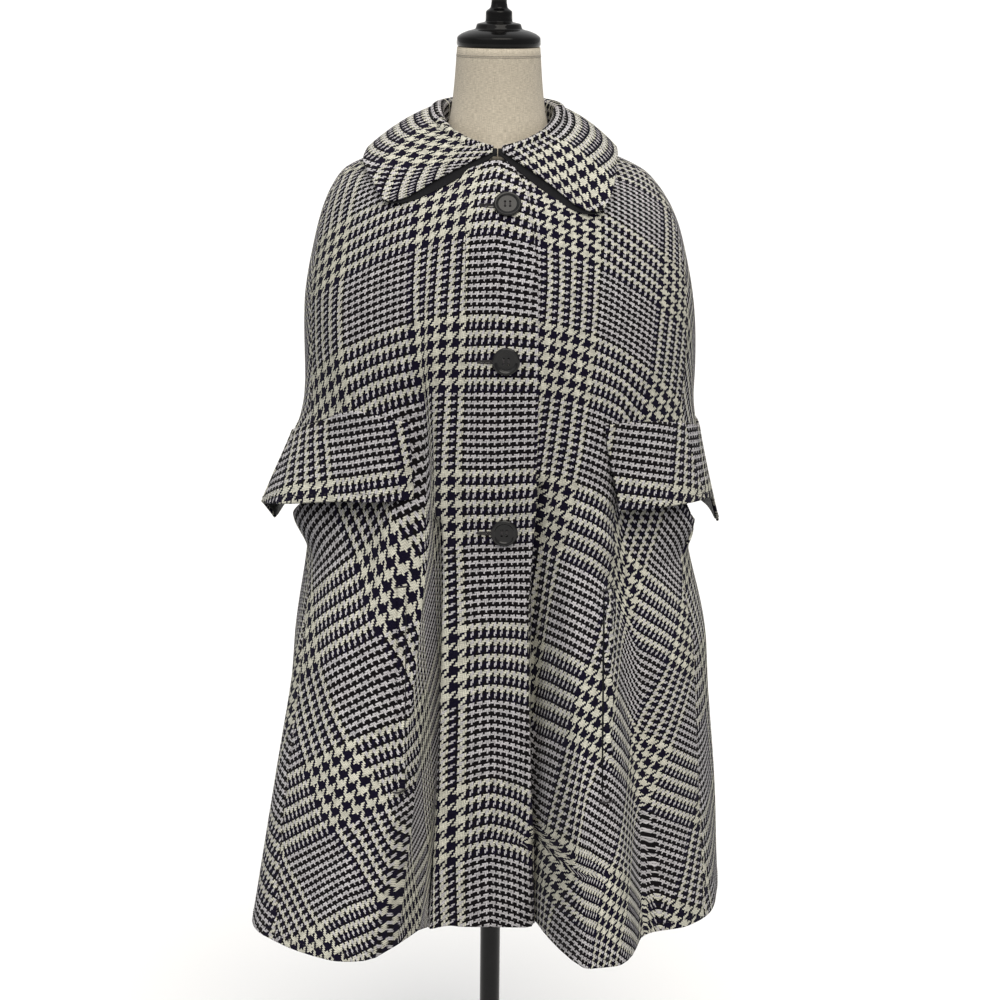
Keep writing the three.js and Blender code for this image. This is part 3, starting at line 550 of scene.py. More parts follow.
def flatten(points, quads, rough, turns=60):
    """Lays a curved face flat with as little stretch as it allows, starting from a rough layout."""
    triangles = np.concatenate([quads[:, [0, 1, 2]], quads[:, [0, 2, 3]]])
    used, triangles = np.unique(triangles, return_inverse=True)
    triangles = triangles.reshape(-1, 3)
    places, flat = points[used], rough[used].copy()
    a, b, c = (places[triangles[:, k]] for k in range(3))
    length = np.linalg.norm(b - a, axis=1)
    local = np.zeros((len(triangles), 3, 2))
    local[:, 1, 0] = length
    local[:, 2, 0] = np.sum((b - a) * (c - a), 1) / length
    local[:, 2, 1] = np.linalg.norm(np.cross(b - a, c - a), axis=1) / length
    matrix = np.zeros((len(used), len(used)))
    sides = []
    for k in range(3):
        i, j, apex = k, (k + 1) % 3, (k + 2) % 3
        first, second = local[:, i] - local[:, apex], local[:, j] - local[:, apex]
        area = np.abs(first[:, 0] * second[:, 1] - first[:, 1] * second[:, 0])
        weight = np.clip(np.sum(first * second, 1) / np.maximum(area, 1e-9), 0.05, 20)
        sides.append((triangles[:, i], triangles[:, j], local[:, i] - local[:, j], weight))
        for p, q in ((triangles[:, i], triangles[:, j]), (triangles[:, j], triangles[:, i])):
            np.add.at(matrix, (p, p), weight)
            np.add.at(matrix, (p, q), -weight)
    matrix[0] = 0
    matrix[0, 0] = 1
    inverse = np.linalg.inv(matrix)
    for _ in range(turns):
        turned, along = 0, 0
        for p, q, edge, weight in sides:
            laid = flat[p] - flat[q]
            turned = turned + weight * (edge[:, 0] * laid[:, 1] - edge[:, 1] * laid[:, 0])
            along = along + weight * np.sum(edge * laid, 1)
        angle = np.arctan2(turned, along)
        sine, cosine = np.sin(angle), np.cos(angle)
        pull = np.zeros_like(flat)
        for p, q, edge, weight in sides:
            step = weight[:, None] * np.stack(
                [cosine * edge[:, 0] - sine * edge[:, 1], sine * edge[:, 0] + cosine * edge[:, 1]], 1)
            np.add.at(pull, p, step)
            np.add.at(pull, q, -step)
        pull[0] = flat[0]
        flat = inverse @ pull
    result = np.zeros((len(points), 2))
    result[used] = flat
    return result


def aligned(flat, top, bottom, anchor, turn, place):
    """Turns a layout so that a line on it leans by turn degrees, and puts its anchor at a place."""
    way = flat[top] - flat[bottom]
    angle = math.pi / 2 + turn * DEGREE - math.atan2(way[1], way[0])
    sine, cosine = math.sin(angle), math.cos(angle)
    moved = flat - flat[anchor]
    return moved @ np.array([[cosine, sine], [-sine, cosine]]) + place


def between(values, rows, columns, fine_rows, fine_columns):
    """Values of a coarse grid read at finer rows and columns."""
    result = np.empty((len(fine_rows), len(fine_columns), values.shape[2]))
    for k in range(values.shape[2]):
        across = np.array([np.interp(fine_columns, columns, line) for line in values[:, :, k]])
        result[:, :, k] = np.array([np.interp(fine_rows, rows, line) for line in across.T]).T
    return result


def front_face(side, cell):
    """The face of one front, and the rows and columns of its cape and skirt."""
    lap = shares(70, cell, to_edge=False)
    middle = 1 + shares(80, cell, False, False)[1:]
    beside = 2 + shares(165, cell, False, True)[1:]
    columns = np.concatenate([lap, middle, beside])
    cape_rows = shares(285, cell)
    skirt_rows = shares(575, cell)
    is_side = columns > 2
    to_side = np.clip(columns - 2, 0, 1)

    def slit(height):
        return side * read(SLIT_LINE, SIDE_NAMES[side], height)

    def angles(ahead, own, seam):
        """Angles of whole rows, from the heights of their middles and of each of their points."""
        under = angle_at(UNDER_EDGE, ahead)
        over = angle_at(read(FRONT_EDGE, "over", ahead), ahead)
        start, end = (over, under) if side < 0 else (under, over)
        lapped = mix(start, end, np.clip(columns, 0, 1))
        rest = mix(end, slit(ahead), np.clip(columns - 1, 0, 1) ** 1.2)
        far = mix(slit(own), seam_angle(seam, own, side, -1), to_side)
        return np.where(is_side, far, np.where(columns > 1, rest, lapped))

    def build(ahead, at_side, seam, layer):
        ahead = ahead[:, None] * np.ones(len(columns))
        own = np.where(is_side, at_side, ahead)
        angle = angles(ahead, own, seam)
        lift = lap_lift(coat_point(angle, own, layer)[..., 0]) if side < 0 else np.zeros(angle.shape)
        points, normals = coat_corner(angle, own, layer, lift)
        return (points[:, ::side], normals[:, ::side])

    slit_angle = abs(float(slit(SLIT_HEIGHT)))
    seam_end = abs(float(seam_angle(UPPER_SEAM, np.float64(SLIT_HEIGHT), side, 0)))
    foot = by_side(CAPE_FOOT, mix(slit_angle, seam_end, to_side), side)
    cape_side = mix(NECK_HEIGHT, foot, cape_rows[:, None])
    cape = build(mix(NECK_HEIGHT, SLIT_HEIGHT, cape_rows), cape_side, UPPER_SEAM, "cape")
    first = (SLIT_HEIGHT - SKIRT_FIRST_ROW) / (SLIT_HEIGHT - HEM_HEIGHT)
    ahead = mix(SLIT_HEIGHT, HEM_HEIGHT, skirt_rows)
    at_seam = np.interp(skirt_rows, (0, first, 1), (EAR_HEIGHT, SIDE_SEAM_TOP, HEM_HEIGHT))
    skirt = build(ahead, mix(ahead[:, None], at_seam[:, None], to_side), LOWER_SEAM, "skirt")
    face = Face()
    ids = face.grid(*cape)
    joined = (~is_side)[::side]
    face.grid(*skirt, shared=(joined, ids[-1, joined]))
    return face, [cape_rows, skirt_rows], columns[::side] * side


def back_face(cell):
    """The face of the back, which wraps round both sides to the fronts' seams."""
    beside = shares(250, cell, True, False)
    centre = 1 + shares(230, cell, False, False)[1:]
    columns = np.concatenate([beside, centre, 3 - beside[::-1][1:]])
    from_left = np.clip(columns, 0, 1)
    from_right = np.clip(3 - columns, 0, 1)
    cape_rows, skirt_rows = shares(285, cell), shares(575, cell)

    def build(rows, layer, seam, heights):
        left, right = heights(rows[:, None], from_left, 1), heights(rows[:, None], from_right, -1)
        height = np.where(columns < 1.5, left, right)
        on_left = mix(seam_angle(seam, height, 1, 1), BACK_SLIT, from_left)
        on_right = 360 + mix(seam_angle(seam, height, -1, 1), -BACK_SLIT, from_right)
        middle = mix(BACK_SLIT, 360 - BACK_SLIT, np.clip(columns - 1, 0, 1))
        angle = np.where(columns <= 1, on_left, np.where(columns >= 2, on_right, middle))
        return coat_corner(angle, height, layer)

    def cape_height(rows, share, side):
        seam_end = abs(float(seam_angle(UPPER_SEAM, np.float64(SLIT_HEIGHT), side, 0)))
        return mix(NECK_HEIGHT, by_side(CAPE_FOOT, mix(seam_end, BACK_SLIT, share), side), rows)

    def skirt_height(rows, share, side):
        return mix(mix(SIDE_SEAM_TOP, SLIT_HEIGHT, share), HEM_HEIGHT, rows)

    face = Face()
    ids = face.grid(*build(cape_rows, "cape", UPPER_SEAM, cape_height))
    joined = (columns >= 1) & (columns <= 2)
    skirt = build(skirt_rows, "skirt", LOWER_SEAM, skirt_height)
    face.grid(*skirt, shared=(joined, ids[-1, joined]))
    return face, [cape_rows, skirt_rows], columns


def cuff_face(side, is_back, cell, lift, rows=None, end=1.0):
    """The face of half a cuff, or of its lining, between the slit and the sleeve's seam."""
    columns = shares(150 if not is_back else 250, cell) * end
    rows = shares(92, cell) if rows is None else mix(rows[0], rows[1], shares(70, cell))

    def angle_of(height, share):
        seam = np.abs(seam_angle(UPPER_SEAM, height, side, 1 if is_back else -1))
        if is_back:
            return side * mix(seam, BACK_SLIT, share)
        return side * mix(read(SLIT_LINE, SIDE_NAMES[side], height), seam, share)

    near = np.abs(angle_of(np.full(columns.shape, float(CUFF_LEVEL)), columns))
    top, foot = by_side(CAPE_FOOT, near, side) + CUFF_LAP, by_side(CUFF_FOOT, near, side)
    height = mix(top, foot, rows[:, None])
    points, normals = coat_corner(angle_of(height, columns), height, "cape",
                                  lift + CUFF_EASE * rows[:, None])
    face = Face()
    face.grid(points[:, ::side], normals[:, ::side])
    return face, [rows], columns[::side] * side


def collar_face(cell, lift, drop=0, start=COLLAR_START):
    """The collar's middle face: up the stand, over the roll and down the fall to the edge."""
    station = mix(1, -1, shares(620, cell))[:, None]
    angle = mix(180, start, np.abs(station) ** COLLAR_FRONT_SHIFT)
    side = np.where(station < 0, -1, 1)
    turned = side * angle
    stand = shares(50, cell, True, False)
    roll = shares(16, cell / 2, False, False)[1:]
    fall = shares(95, cell, False, True)[1:]
    foot = coat_point(turned, NECK_HEIGHT, "cape")
    near_lap = 1 - ease((foot[..., 0] - LAP_NECK_END) / LAP_NECK_SPAN)
    foot[..., 2] += COLLAR_FOOT_LIFT + lap_lift(foot[..., 0]) * near_lap
    out = np.concatenate([np.sin(turned * DEGREE), -np.cos(turned * DEGREE), 0 * turned], 1)[:, None]
    upward = np.array([0, 0, 1.0])
    top = out * read(COLLAR_ROLL, "out", angle)[..., None]
    top = top + upward * (read(COLLAR_ROLL, "height", angle)[..., None] - COLLAR_TURN)
    near_front = np.clip(1 - (angle - COLLAR_START) / COLLAR_TIP_SPAN, 0, 1)
    edge_angle = side * by_side(COLLAR_EDGE, angle, side)
    edge, _ = coat_corner(edge_angle, by_side(COLLAR_LEVEL, angle, side), "cape", COLLAR_LIFT)
    around = np.pi * (1 - roll)[None, :, None]
    turn = top + out * COLLAR_TURN * (1 + np.cos(around)) + upward * COLLAR_TURN * np.sin(around)
    start = turn[:, -1:]
    bend = (start + edge) / 2 + upward * read(COLLAR_ROLL, "bow", angle)[..., None]
    # Drop lowers the front of the dark lower collar below the top collar's edge, partly as painted
    # shade under it
    bend = bend + (out * COLLAR_UNDER_OUT - upward) * (drop * near_front)[..., None]
    t = (fall * (1 - COLLAR_ROUNDING * (1 - np.sqrt(1 - near_front ** 2))))[..., None]
    fallen = mix(mix(start, bend, t), mix(bend, edge, t), t)
    lines = np.concatenate([mix(foot, top, stand[None, :, None]), turn, fallen], 1)
    points = lines.transpose(1, 0, 2)
    normals = unit(-np.cross(np.gradient(points, axis=1), np.gradient(points, axis=0)))
    face = Face()
    face.grid(points + normals * lift, normals)
    columns = np.concatenate([stand, 1 + roll, 2 + fall])
    return face, [columns], -station[:, 0]


def welt_face(side):
    """The face of a narrow strip that edges a pocket's opening."""
    height = mix(WELT_TOP, WELT_BOTTOM, shares(216, CELL))[:, None]
    across = shares(WELT_WIDTH, CELL / 3) - 0.5
    angle = angle_at(WELT_X[side] + across * WELT_WIDTH, height)
    face = Face()
    face.grid(*coat_corner(angle, height + 0 * angle, "skirt", THIN_CLOTH + WELT_LIFT))
    return face


def border_of(quads):
    """The corners on the free edges of a face."""
    edges = np.concatenate([quads[:, [k, (k + 1) % 4]] for k in range(4)])
    ordered = np.sort(edges, 1)
    _, first, count = np.unique(ordered, axis=0, return_index=True, return_counts=True)
    return np.unique(edges[first[count == 1]])


def bell(distance):
    """A cubic bell whose copies one apart add up to 1."""
    far = np.maximum(2 - np.abs(distance), 0) ** 3 / 6
    near = np.maximum(1 - np.abs(distance), 0) ** 3 * 4 / 6
    return far - near


def drift(points, side):
    """How far the weave has drifted at points of a front, in threads of the warp and of the weft."""
    angle, height = np.abs(around(points)), points[:, 2]
    up = bell((height[:, None] - DRAPE_HEIGHT) / DRAPE_RISE - np.arange(len(WARP_DRAPE[side])))
    columns = np.arange(len(WARP_DRAPE[side][0]) - 1)
    turn = bell((angle[:, None] - DRAPE_ANGLE) / DRAPE_TURN - columns)
    valley, span = np.interp(height, (HEM_HEIGHT, FOLD_START), VALLEY[side]), VALLEY_SPAN[side]
    jump = ease((angle - valley) / span / 2 + 0.5)
    across = np.concatenate([turn, jump[:, None]], 1)
    return np.stack([np.sum(up * (across @ np.array(drape[side], float).T), 1)
                     for drape in (WARP_DRAPE, WEFT_DRAPE)], 1)


def back_drift(points):
    """The same for the back, whose weft drops toward the seams above the slits and whose warp
    follows the lower seams."""
    angle, height = around(points), points[:, 2]
    side = np.sign(angle)
    drop = mix(*BACK_DROP, ease((height - BACK_TURN_LOW) / (BACK_TURN_HIGH - BACK_TURN_LOW)))
    weft = drop * ((180 - np.abs(angle)) / 100) ** 2
    near = ease((BACK_SLIT - np.abs(angle)) / (BACK_SLIT - EAR_ANGLE))
    shift = EAR_ANGLE - by_side(LOWER_SEAM, np.minimum(height, EAR_HEIGHT), side)
    return np.stack([side * shift * near * ARC / WARP_PITCH, weft], 1)


def ring_faces(rows, columns, start=0):
    """Faces between closed rings of corners, and over both ends."""
    ids = np.arange(rows * columns).reshape(rows, columns) + start
    after = np.roll(ids, -1, 1)
    sides = np.stack([ids[:-1], after[:-1], after[1:], ids[1:]], -1).reshape(-1, 4).tolist()
    return sides + [ids[0, ::-1].tolist(), ids[-1].tolist()]


def add_object(name, data):
    """An object of the scene that shows a mesh, a camera or a light."""
    made = bpy.data.objects.new(name, data)
    bpy.context.scene.collection.objects.link(made)
    return made


def mesh_of(name, points, faces):
    """A mesh from points in millimetres."""
    mesh = bpy.data.meshes.new(name)
    mesh.from_pydata((points * MM).tolist(), [], faces)
    return mesh


def add_piece(name, points, faces, materials, nodes=(), layout=None):
    """A mesh given in millimetres, as a piece that rides on the root body."""
    mesh = mesh_of(name, points, faces)
    if layout is not None:
        mesh.uv_layers.new(name="weave").data.foreach_set("uv", layout.astype(np.float32).ravel())
    for material in materials:
        mesh.materials.append(material)
    mesh.polygons.foreach_set("use_smooth", np.ones(len(mesh.polygons), bool))
    mesh.update()
    piece = add_object(name, mesh)
    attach(piece, "root")
    if nodes:
        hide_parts(*nodes)
    return piece


def cloth(name, node, face, layout, thickness, materials):
    """A closed piece of cloth with rounded edges that stands for a solid of the frame."""
    points, normals, quads = face.arrays()
    used, quads = np.unique(quads, return_inverse=True)
    quads = quads.reshape(-1, 4)
    points, normals, layout = points[used], normals[used], layout[used]
    border = border_of(quads)
    tree = kdtree.KDTree(len(border))
    for i, corner in enumerate(border):
        tree.insert(points[corner], i)
    tree.balance()
    reach = np.array([tree.find(point)[2] for point in points])
    half = thickness / 2
    rise = (half * np.sqrt(1 - (1 - np.clip(reach / half, 0, 1)) ** 2))[:, None]
    middle = points - normals * half
    is_border = np.zeros(len(points), bool)
    is_border[border] = True
    inner_ids = np.arange(len(points))
    inner_ids[~is_border] = len(points) + np.arange(np.count_nonzero(~is_border))
    places = np.concatenate([middle + normals * rise, (middle - normals * rise)[~is_border]])
    faces = np.concatenate([quads, inner_ids[quads[:, ::-1]]])
    corners = np.concatenate([layout[quads], layout[quads[:, ::-1]]]).reshape(-1, 2)
    piece = add_piece(name, places, faces.tolist(), materials, (node,), corners)
    if len(materials) > 1:
        inside = np.zeros(len(faces), np.int32)
        inside[len(quads):] = reach[quads[:, ::-1]].min(1) > TURNED_EDGE
        piece.data.polygons.foreach_set("material_index", inside)
    return piece


def quad_area(corners):
    first, second = corners[:, 2] - corners[:, 0], corners[:, 3] - corners[:, 1]
    if corners.shape[2] == 2:
        return np.abs(first[:, 0] * second[:, 1] - first[:, 1] * second[:, 0]).sum() / 2
    return np.linalg.norm(np.cross(first, second), axis=1).sum() / 2


def declare(face, flat):
    """Works out the size and area a piece of cloth was cut to, from its flat layout or along a plain
    strip, and then drops them.
    """
    points, _, quads = face.arrays()
    if flat is None:
        grid = points.reshape(*face.grids[0].shape, 3)
        size = [np.linalg.norm(np.diff(grid, axis=axis), axis=2).sum(axis).max() for axis in (1, 0)]
        area = quad_area(points[quads])
    else:
        size = np.ptp(flat[np.unique(quads)], axis=0)
        area = quad_area(flat[quads])
    width, length = (round(float(value) * MM, 3) for value in size)
    area = min(round(float(area) * MM * MM, 4), round(width * length, 4))


def loft(name, rings, materials, nodes=(), pitch=1.0):
    """A closed solid through rings of corners, with a layout of its skin in millimetres."""
    rows, columns = rings.shape[:2]
    faces = ring_faces(rows, columns)
    run = np.cumsum(np.linalg.norm(np.diff(rings, axis=0, prepend=rings[:1]), axis=2).mean(1))
    girth = np.linalg.norm(rings - np.roll(rings, 1, 1), axis=2).sum(1).max()
    laid = []
    for row in range(rows - 1):
        for column in range(columns):
            left, right = (share * girth / columns for share in (column, column + 1))
            laid += [(left, run[row]), (right, run[row]), (right, run[row + 1]), (left, run[row + 1])]
    for row in (0, -1):
        laid += [tuple(corner[:2]) for corner in (rings[row, ::-1] if row == 0 else rings[row])]
    return add_piece(name, rings.reshape(-1, 3), faces, materials, nodes, np.array(laid) * pitch)


def turned(source, step, sides):
    """Rings of a turned shape from a table of heights and radii along its outline."""
    outline = np.array(source, float)
    run = np.concatenate([[0], np.cumsum(np.hypot(*np.diff(outline, axis=0).T))])
    along = {"key": run, "radius": outline[:, 0], "height": outline[:, 1]}
    stops = np.unique(np.concatenate([run, np.arange(0, run[-1], step)]))
    radius = np.maximum(read(along, "radius", stops), 0.2)[:, None]
    turn = np.arange(sides)[None] * 2 * np.pi / sides
    height = read(along, "height", stops)[:, None] + 0 * turn
    return np.stack([radius * np.cos(turn), radius * np.sin(turn), height], -1)


class Bundle:
    """Threads, stitches and cords gathered in one mesh."""

    def __init__(self):
        self.points, self.faces, self.count = [], [], 0

    def tube(self, path, up, radius, sides=6, tapered=True):
        along = unit(np.gradient(path, axis=0))
        aside = unit(np.cross(along, up))
        upward = np.cross(aside, along)
        turn = (np.arange(sides) * 2 * np.pi / sides)[None, :, None]
        share = np.linspace(-1, 1, len(path))
        width = radius * (np.sqrt(1 - 0.9 * np.abs(share) ** 3) if tapered else np.ones(len(path)))
        ring = np.cos(turn) * aside[:, None] + np.sin(turn) * upward[:, None]
        self.points.append((path[:, None] + ring * width[:, None, None]).reshape(-1, 3))
        self.faces += ring_faces(len(path), sides, self.count)
        self.count += len(path) * sides

    def stitches(self, line, length, gap, radius, lean=0.0):
        """Stitches along a line on the cloth, each turned aside by lean degrees."""
        path, up = line
        run = np.concatenate([[0], np.cumsum(np.linalg.norm(np.diff(path, axis=0), axis=1))])
        share = np.linspace(-0.5, 0.5, 5)[:, None]
        for start in np.arange(length / 2, run[-1] - length / 2, length + gap):
            spots = [np.array([np.interp(start + step, run, values) for values in path.T])
                     for step in (-length / 2, 0, length / 2)]
            over = unit(np.array([np.interp(start, run, values) for values in up.T]))
            along = spots[2] - spots[0]
            aside = np.cross(over, along)
            way = along * math.cos(lean * DEGREE) + aside * math.sin(lean * DEGREE)
            rise = radius * (0.5 - 6 * share ** 2)
            self.tube(spots[1] + way * share + over * rise, over, radius)

    def piece(self, name, material, slot):
        return add_piece(name, np.concatenate(self.points), self.faces, [material])


def on_coat(angle, height, layer, lift):
    """A line on the coat's face, just above it, with the directions out of it."""
    angle, height = np.broadcast_arrays(np.asarray(angle, float), np.asarray(height, float))
    return coat_corner(angle, height, layer, lift + np.zeros(angle.shape))


def colour(red, green, blue):
    """A colour given as on a screen, from 0 to 255, in the linear values of the shader."""
    screen = np.array([red, green, blue]) / 255
    linear = np.where(screen <= 0.04045, screen / 12.92, ((screen + 0.055) / 1.055) ** 2.4)
    return (*linear.tolist(), 1.0)


class Nodes:
    """Adds shader nodes to a new material or world, with numbers or other nodes' outputs as
    inputs. Mixed colours are given as on a screen."""

    def __init__(self, name, kind=bpy.data.materials, shader="Principled BSDF"):
        self.owner = kind.new(name)
        self.owner.use_nodes = True
        self.tree = self.owner.node_tree
        self.shader = self.tree.nodes[shader]

    def fill(self, node, values):
        for key, value in values.items():
            if isinstance(value, bpy.types.NodeSocket):
                self.tree.links.new(value, node.inputs[key])
            else:
                node.inputs[key].default_value = value
        return node

    def node(self, kind, settings=None, **values):
        made = self.tree.nodes.new("ShaderNode" + kind)
        for key, value in (settings or {}).items():
            setattr(made, key, value)
        return self.fill(made, {key.replace("_", " "): value for key, value in values.items()})

    def math(self, operation, *values):
        made = self.node("Math", {"operation": operation})
        return self.fill(made, dict(enumerate(values))).outputs[0]

    def clamped(self, value):
        return self.node("Clamp", Value=value).outputs[0]

    def mix(self, share, *tints):
        first, second = (colour(*tint) if isinstance(tint, tuple) else tint for tint in tints)
        made = self.node("Mix", {"data_type": "RGBA"})
        self.fill(made, {0: share, 6: first, 7: second})
        return made.outputs[2]

    def noise(self, vector, scale, detail=2.0, roughness=0.5, what="Fac"):
        return self.node("TexNoise", Vector=vector, Scale=scale, Detail=detail,
                         Roughness=roughness).outputs[what]

    def surface(self, **values):
        self.fill(self.shader, {key.replace("_", " "): value for key, value in values.items()})
        return self.owner


def wool_material():
    """Brushed wool in a glen check: two-and-two twill with coarse and fine stripes both ways."""
    made = Nodes("wool_check")
    place = made.node("UVMap", {"uv_map": "weave"}).outputs["UV"]
    fuzz = made.noise(place, 0.9, 2, 0.6, "Color")
    wander = made.noise(place, 0.035, 1, 0.5, "Color")
    threads = []
    for axis in ("X", "Y"):
        split = {name: made.node("SeparateXYZ", Vector=source).outputs[axis]
                 for name, source in (("place", place), ("fuzz", fuzz), ("wander", wander))}
        shifted = made.math("MULTIPLY_ADD", split["fuzz"], WOOL_FUZZ, split["place"])
        threads.append(made.math("MULTIPLY_ADD", split["wander"], WOOL_WANDER, shifted))
    warp, weft = threads
    warp_number, weft_number = made.math("FLOOR", warp), made.math("FLOOR", weft)
    step = made.math("FLOORED_MODULO", made.math("SUBTRACT", warp_number, weft_number), 4)
    is_warp = made.math("LESS_THAN", step, 1.5)
    kinds = []
    for position, number in ((warp, warp_number), (weft, weft_number)):
        order = made.math("FLOORED_MODULO", number, REPEAT)
        is_coarse = made.math("LESS_THAN", order, REPEAT / 2 - 0.5)
        period = made.math("MULTIPLY_ADD", is_coarse, 4, 4)
        part = made.math("FLOORED_MODULO", made.math("ADD", position, DARK_SPREAD / 2), period)
        half = made.math("MULTIPLY_ADD", is_coarse, 2, 2 + DARK_SPREAD)
        is_dark = made.math("LESS_THAN", part, half)
        crown = made.math("PINGPONG", position, 0.5)
        kinds.append((is_coarse, is_dark, crown))
    (warp_coarse, warp_dark, warp_crown), (weft_coarse, weft_dark, weft_crown) = kinds

    def either(first, second):
        gain = made.math("SUBTRACT", second, first)
        return made.math("MULTIPLY_ADD", gain, is_warp, first)

    is_coarse, is_dark = either(weft_coarse, warp_coarse), either(weft_dark, warp_dark)
    light = made.mix(is_coarse, FINE_LIGHT, COARSE_LIGHT)
    dark = made.mix(is_coarse, FINE_DARK, COARSE_DARK)
    yarn = made.mix(is_dark, light, dark)
    crown = either(weft_crown, warp_crown)
    # Painted shade in the grooves between threads, mixed toward the shade tint
    groove_shade = made.clamped(made.math("MULTIPLY_ADD", crown, GROOVE_SHADE_GAIN, GROOVE_SHADE_DEPTH))
    yarn = made.mix(groove_shade, yarn, SHADE_TINT)
    fibre = made.noise(place, 2.3, 3, 0.7)
    haze = made.clamped(made.math("MULTIPLY_ADD", fibre, HAZE_GAIN, HAZE_START))
    brushed = made.mix(haze, yarn, BRUSHED_TINT)
    tone = made.clamped(made.math("MULTIPLY_ADD", made.noise(place, 0.25, 2), TONE_GAIN, TONE_START))
    shaded = made.mix(tone, brushed, SHADE_TINT)
    height = made.math("ADD", fibre, crown)
    bump = made.node("Bump", Strength=0.5, Distance=0.0007, Height=height)
    rough = made.math("MULTIPLY_ADD", fibre, 0.2, 0.8)
    return made.surface(Base_Color=shaded, Roughness=rough, Sheen_Weight=0.03, Sheen_Roughness=0.5,
                        Specular_IOR_Level=0.05, Normal=bump.outputs["Normal"])


def woven_material(name, light, dark, pitch, sheen, rough):
    """A plain weave with uneven threads, laid out in millimetres."""
    made = Nodes(name)
    place = made.node("UVMap", {"uv_map": "weave"}).outputs["UV"]
    axes = made.node("SeparateXYZ", Vector=place)
    slubs, waves = [], []
    for axis, stretch in (("X", (1.4 / pitch, 0.09 / pitch, 1)), ("Y", (0.07 / pitch, 1.6 / pitch, 1))):
        stretched = made.node("VectorMath", {"operation": "MULTIPLY"})
        made.fill(stretched, {0: place, 1: stretch})
        slubs.append(made.noise(stretched.outputs[0], 1.0, 3, 0.6))
        wave = made.math("SINE", made.math("MULTIPLY", axes.outputs[axis], 2 * math.pi / pitch))
        waves.append(wave)
    relief = made.math("MULTIPLY", waves[0], waves[1])
    slub = made.math("ADD", slubs[0], slubs[1])
    level = made.math("MULTIPLY_ADD", slub, 2.4, -1.9)
    share = made.clamped(made.math("MULTIPLY_ADD", relief, 0.16, level))
    tint = made.mix(share, dark, light)
    height = made.math("MULTIPLY_ADD", relief, 0.5, slub)
    bump = made.node("Bump", Strength=0.45, Distance=0.0004, Height=height)
    uneven = made.math("MULTIPLY_ADD", share, 0.12, rough)
    return made.surface(Base_Color=tint, Roughness=uneven, Sheen_Weight=sheen,
                        Specular_IOR_Level=0.15, Normal=bump.outputs["Normal"])


def gloss_material(name, first, second, scale, rough, coat, gloss):
    """A polished or lacquered surface with faint clouds and wear in its gloss."""
    made = Nodes(name)
    place = made.node("TexCoord").outputs["Object"]
    cloud = made.clamped(made.math("MULTIPLY_ADD", made.noise(place, scale, 4, 0.6), 3, -1))
    scuff = made.noise(place, scale * 6, 3, 0.7)
    bump = made.node("Bump", Strength=0.08, Distance=0.0003, Height=scuff)
    worn = made.math("MULTIPLY_ADD", scuff, 0.16, rough - 0.08)
    return made.surface(Base_Color=made.mix(cloud, first, second), Roughness=worn, Coat_Weight=coat,
                        Coat_Roughness=0.08, Specular_IOR_Level=gloss, Normal=bump.outputs["Normal"])


def thread_material(name, light, dark):
    """Sewing thread with a slight fuzz."""
    made = Nodes(name)
    place = made.node("TexCoord").outputs["Object"]
    fuzz = made.noise(place, 900, 2, 0.7)
    tint = made.mix(made.clamped(made.math("MULTIPLY_ADD", fuzz, 2, -0.5)), dark, light)
    bump = made.node("Bump", Strength=0.3, Distance=0.0002, Height=fuzz)
    return made.surface(Base_Color=tint, Roughness=0.75, Sheen_Weight=0.1,
                        Normal=bump.outputs["Normal"])


WOOL = wool_material()
LINING = woven_material("lining", (24, 24, 28), (10, 10, 12), 0.7, 0.02, 0.5)
LINEN = woven_material("linen", (226, 216, 197), (176, 166, 148), 0.95, 0.15, 0.8)
HORN = gloss_material("button_horn", (5, 5, 6), (17, 16, 16), 140, 0.12, 0.15, 0.25)
LACQUER = gloss_material("cap_lacquer", (9, 9, 9), (17, 16, 16), 60, 0.12, 0.08, 0.12)
PAINT = gloss_material("stand_paint", (10, 10, 11), (20, 20, 21), 40, 0.3, 0.05, 0.2)
DARK_THREAD = thread_material("dark_thread", (52, 48, 50), (22, 20, 22))
LIGHT_THREAD = thread_material("light_thread", (196, 188, 172), (120, 112, 104))
SEAM_THREAD = thread_material("seam_thread", (150, 142, 132), (70, 64, 60))


def in_threads(flat):
    """A layout in millimetres as thread numbers, with 0 where a coarse band starts."""
    return np.stack([(flat[:, 0] - WARP_START) / WARP_PITCH,
                     (flat[:, 1] - WEFT_START) / WEFT_PITCH + REPEAT / 2], 1)


def spread(build, line, turn, place):
    """The fine face of a panel with its layout. The panel's warp runs along a line of its grid,
    turned by some degrees, and the line's middle is put at a place of the layout."""
    coarse, rows, columns = build(COARSE)
    points, _, quads = coarse.arrays()
    angle = around(points)
    if np.ptp(angle) > 300:
        angle = angle % 360
    rough = np.stack([angle * DEGREE * 225, points[:, 2]], 1)
    flat = flatten(points, quads, rough)
    column = int(np.argmin(np.abs(columns - line)))
    top, bottom = coarse.grids[0][1, column], coarse.grids[-1][-1, column]
    anchor = coarse.grids[0][-1, column]
    flat = aligned(flat, top, bottom, anchor, turn, place)
    fine, fine_rows, fine_columns = build(CELL)
    parts = [between(flat[ids], rows[k], columns, fine_rows[k], fine_columns).reshape(-1, 2)
             for k, ids in enumerate(coarse.grids)]
    return fine, np.concatenate(parts)


def make_fronts():
    for side in (-1, 1):
        name = SIDE_NAMES[side]
        x = UNDER_EDGE if side < 0 else LEFT_LAYOUT_X
        face, flat = spread(lambda cell: front_face(side, cell), side, 0, (x, 0))
        points, _, _ = face.arrays()
        layout = in_threads(flat) + drift(points, side)
        piece = cloth(f"coat_front_{name}", f"front_{name}", face, layout, CLOTH, [WOOL, LINING])
        declare(face, flat)
        make_welt(side, points, layout)


